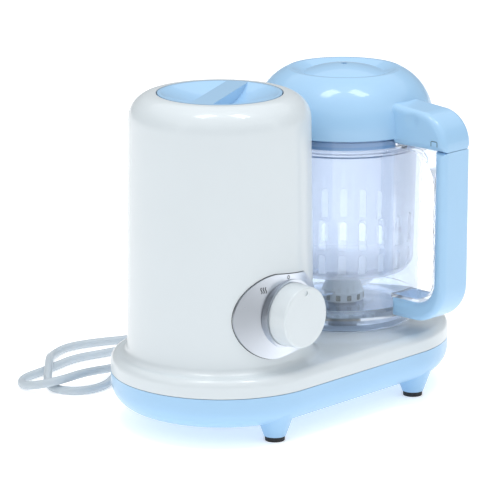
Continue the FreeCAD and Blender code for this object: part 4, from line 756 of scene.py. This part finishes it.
def ring_tree():
    tree = bpy.data.node_groups.new("Ring of windows", "GeometryNodeTree")
    tree.interface.new_socket(name="Geometry", in_out="OUTPUT", socket_type="NodeSocketGeometry")
    for label, kind in RING_INPUTS:
        tree.interface.new_socket(name=label, in_out="INPUT", socket_type="NodeSocket" + kind)
    made = {label: tree.nodes.new(kind) for label, kind in RING_NODES}
    made["round"].mode = "POLY"
    made["round"].inputs["Count"].default_value = 4
    made["angle"].operation = "ARCTAN2"
    made["stand"].inputs["Rotation"].default_value = (math.pi / 2, 0, math.pi / 2)
    for source, output, target, socket in RING_LINKS:
        tree.links.new(made[source].outputs[output], made[target].inputs[socket])
    return tree


windows_tree = ring_tree()
print("tree:", windows_tree.name, "with", len(windows_tree.nodes), "nodes")

# %% [markdown]
# The ring takes its radius and its centre from the hub itself, so it stays on the skirt if the hub's size changes.
# What the tree makes is then kept as a plain mesh, because an export would drop its instances.

# %% Windows in the hub
WINDOW_RISE = 0.0032
# Painted shade: a dark, dull colour for the shade inside the windows of the skirt.
finish["window_shade"] = surface("window_shade", moulded, 0.03, {
    "Colour": linear(0.50, 0.51, 0.46), "Cloud": 0.1, "Roughness": 0.6, "Grain scale": 900.0})
hub_low, hub_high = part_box("blade_hub")
hub_radius = (hub_high[0] - hub_low[0]) / 2
WINDOWS = {"Count": 12, "Radius": hub_radius + INK_LIFT, "Width": 0.0034, "Height": 0.0042, "Corner": 0.0006,
           "Place": ((hub_low[0] + hub_high[0]) / 2, (hub_low[1] + hub_high[1]) / 2, hub_low[2] + WINDOW_RISE),
           "Finish": finish["window_shade"]}


def set_out(name, tree, values):
    """Plain mesh of what a Geometry Nodes tree makes with the given inputs."""
    host = new_object(name + "_host", bpy.data.meshes.new(name + "_host"))
    modifier = host.modifiers.new("set out", "NODES")
    modifier.node_group = tree
    for socket in tree.interface.items_tree:
        if socket.in_out == "INPUT":
            modifier[socket.identifier] = values[socket.name]
    mesh = plain_mesh(host)
    mesh.name = name
    bpy.data.objects.remove(host)
    return new_object(name, mesh)


hub_window_shade = set_out("hub_window_shade", windows_tree, WINDOWS)
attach(hub_window_shade, "blade")
print("windows: %d plates, %d faces" % (WINDOWS["Count"], len(hub_window_shade.data.polygons)))

# %% [markdown]
# ## Light and floor
# The object stands in a white studio. A curved backdrop is the usual way to such a picture, but here the floor only
# has to melt into the white behind it. So it is one flat sheet that glows a little, and still takes a soft shadow.

# %% Floor
FLOOR_HALF = 8.0
FLOOR_GLOW = 0.46


def make_floor():
    """Square sheet at the height of the feet."""
    corners = [(-FLOOR_HALF, -FLOOR_HALF, 0), (FLOOR_HALF, -FLOOR_HALF, 0), (FLOOR_HALF, FLOOR_HALF, 0),
               (-FLOOR_HALF, FLOOR_HALF, 0)]
    mesh = bpy.data.meshes.new("studio_floor")
    mesh.from_pydata(corners, [], [(0, 1, 2, 3)])
    material = surface("floor_paint", moulded, 0.0, {
        "Colour": linear(0.94, 0.94, 0.94), "Cloud": 0.0, "Roughness": 0.9, "Grain scale": 40.0})
    fill(shader_of(material), {"Emission Color": (1, 1, 1, 1), "Emission Strength": FLOOR_GLOW,
                               "Specular IOR Level": 0.1})
    mesh.materials.append(material)
    return new_object("studio_floor", mesh)


floor = make_floor()
print("floor: %.0f m wide" % floor.dimensions.x)

# %% [markdown]
# One broad soft sun, a softbox on each side and two windows overhead give the even studio light. The windows draw
# the highlights on the shoulders of tower and lid. The sky is white to the camera and through clear walls, and dimmer
# to the surfaces, so that the white shell keeps its soft shading.

# %% Sky and lamps
SKY_LIGHT = 0.26
LAMP_AIM = Vector((0, 0, 0.11))
WINDOW_MIDDLE = (-0.22, -0.24, 2.0)
WINDOW_ROW = (0.685, -0.729)
WINDOW_APART = 0.45
SOFTBOXES = {
    # name: place, watts, width, height
    "left_softbox": ((-1.9, 0.2, 0.9), 2.2, 0.4, 1.5),
    "right_softbox": ((0.9, -1.8, 0.8), 1.9, 0.4, 1.3),
}
for index, side in enumerate((-WINDOW_APART, WINDOW_APART)):
    place = (WINDOW_MIDDLE[0] + side * WINDOW_ROW[0], WINDOW_MIDDLE[1] + side * WINDOW_ROW[1], WINDOW_MIDDLE[2])
    SOFTBOXES["window_%d" % index] = (place, 7.0, 0.36, 0.6)


def make_sky():
    """World that is brighter where it is seen than where it lights."""
    world = bpy.data.worlds.new("studio_sky")
    world.use_nodes = True
    tree = world.node_tree
    background = tree.nodes["Background"]
    path = tree.nodes.new("ShaderNodeLightPath")
    background.inputs["Color"].default_value = (1, 1, 1, 1)
    seen = maths(tree, "MAXIMUM", path.outputs["Is Camera Ray"], path.outputs["Is Transmission Ray"])
    strength = maths(tree, "ADD", maths(tree, "MULTIPLY", seen, 1 - SKY_LIGHT), SKY_LIGHT)
    tree.links.new(strength, background.inputs["Strength"])
    bpy.context.scene.world = world


def make_lamp(name, kind, place, energy, **values):
    """Lamp at a place, turned to the middle of the object."""
    data = bpy.data.lights.new(name, kind)
    data.energy = energy
    for key, value in values.items():
        setattr(data, key, value)
    lamp = new_object(name, data)
    lamp.location = place
    lamp.rotation_mode = "QUATERNION"
    lamp.rotation_quaternion = (LAMP_AIM - Vector(place)).to_track_quat("-Z", "Y")


make_sky()
make_lamp("soft_sun", "SUN", (-0.1, -0.15, 3.0), 1.8, angle=math.radians(120))
for name, (place, watts, width, height) in SOFTBOXES.items():
    make_lamp(name, "AREA", place, watts, shape="RECTANGLE", size=width, size_y=height)
bpy.context.scene.view_settings.view_transform = "Standard"

# %% [markdown]
# ## Final update
# The view layer is updated once more.

# %% Final update
bpy.context.view_layer.update()
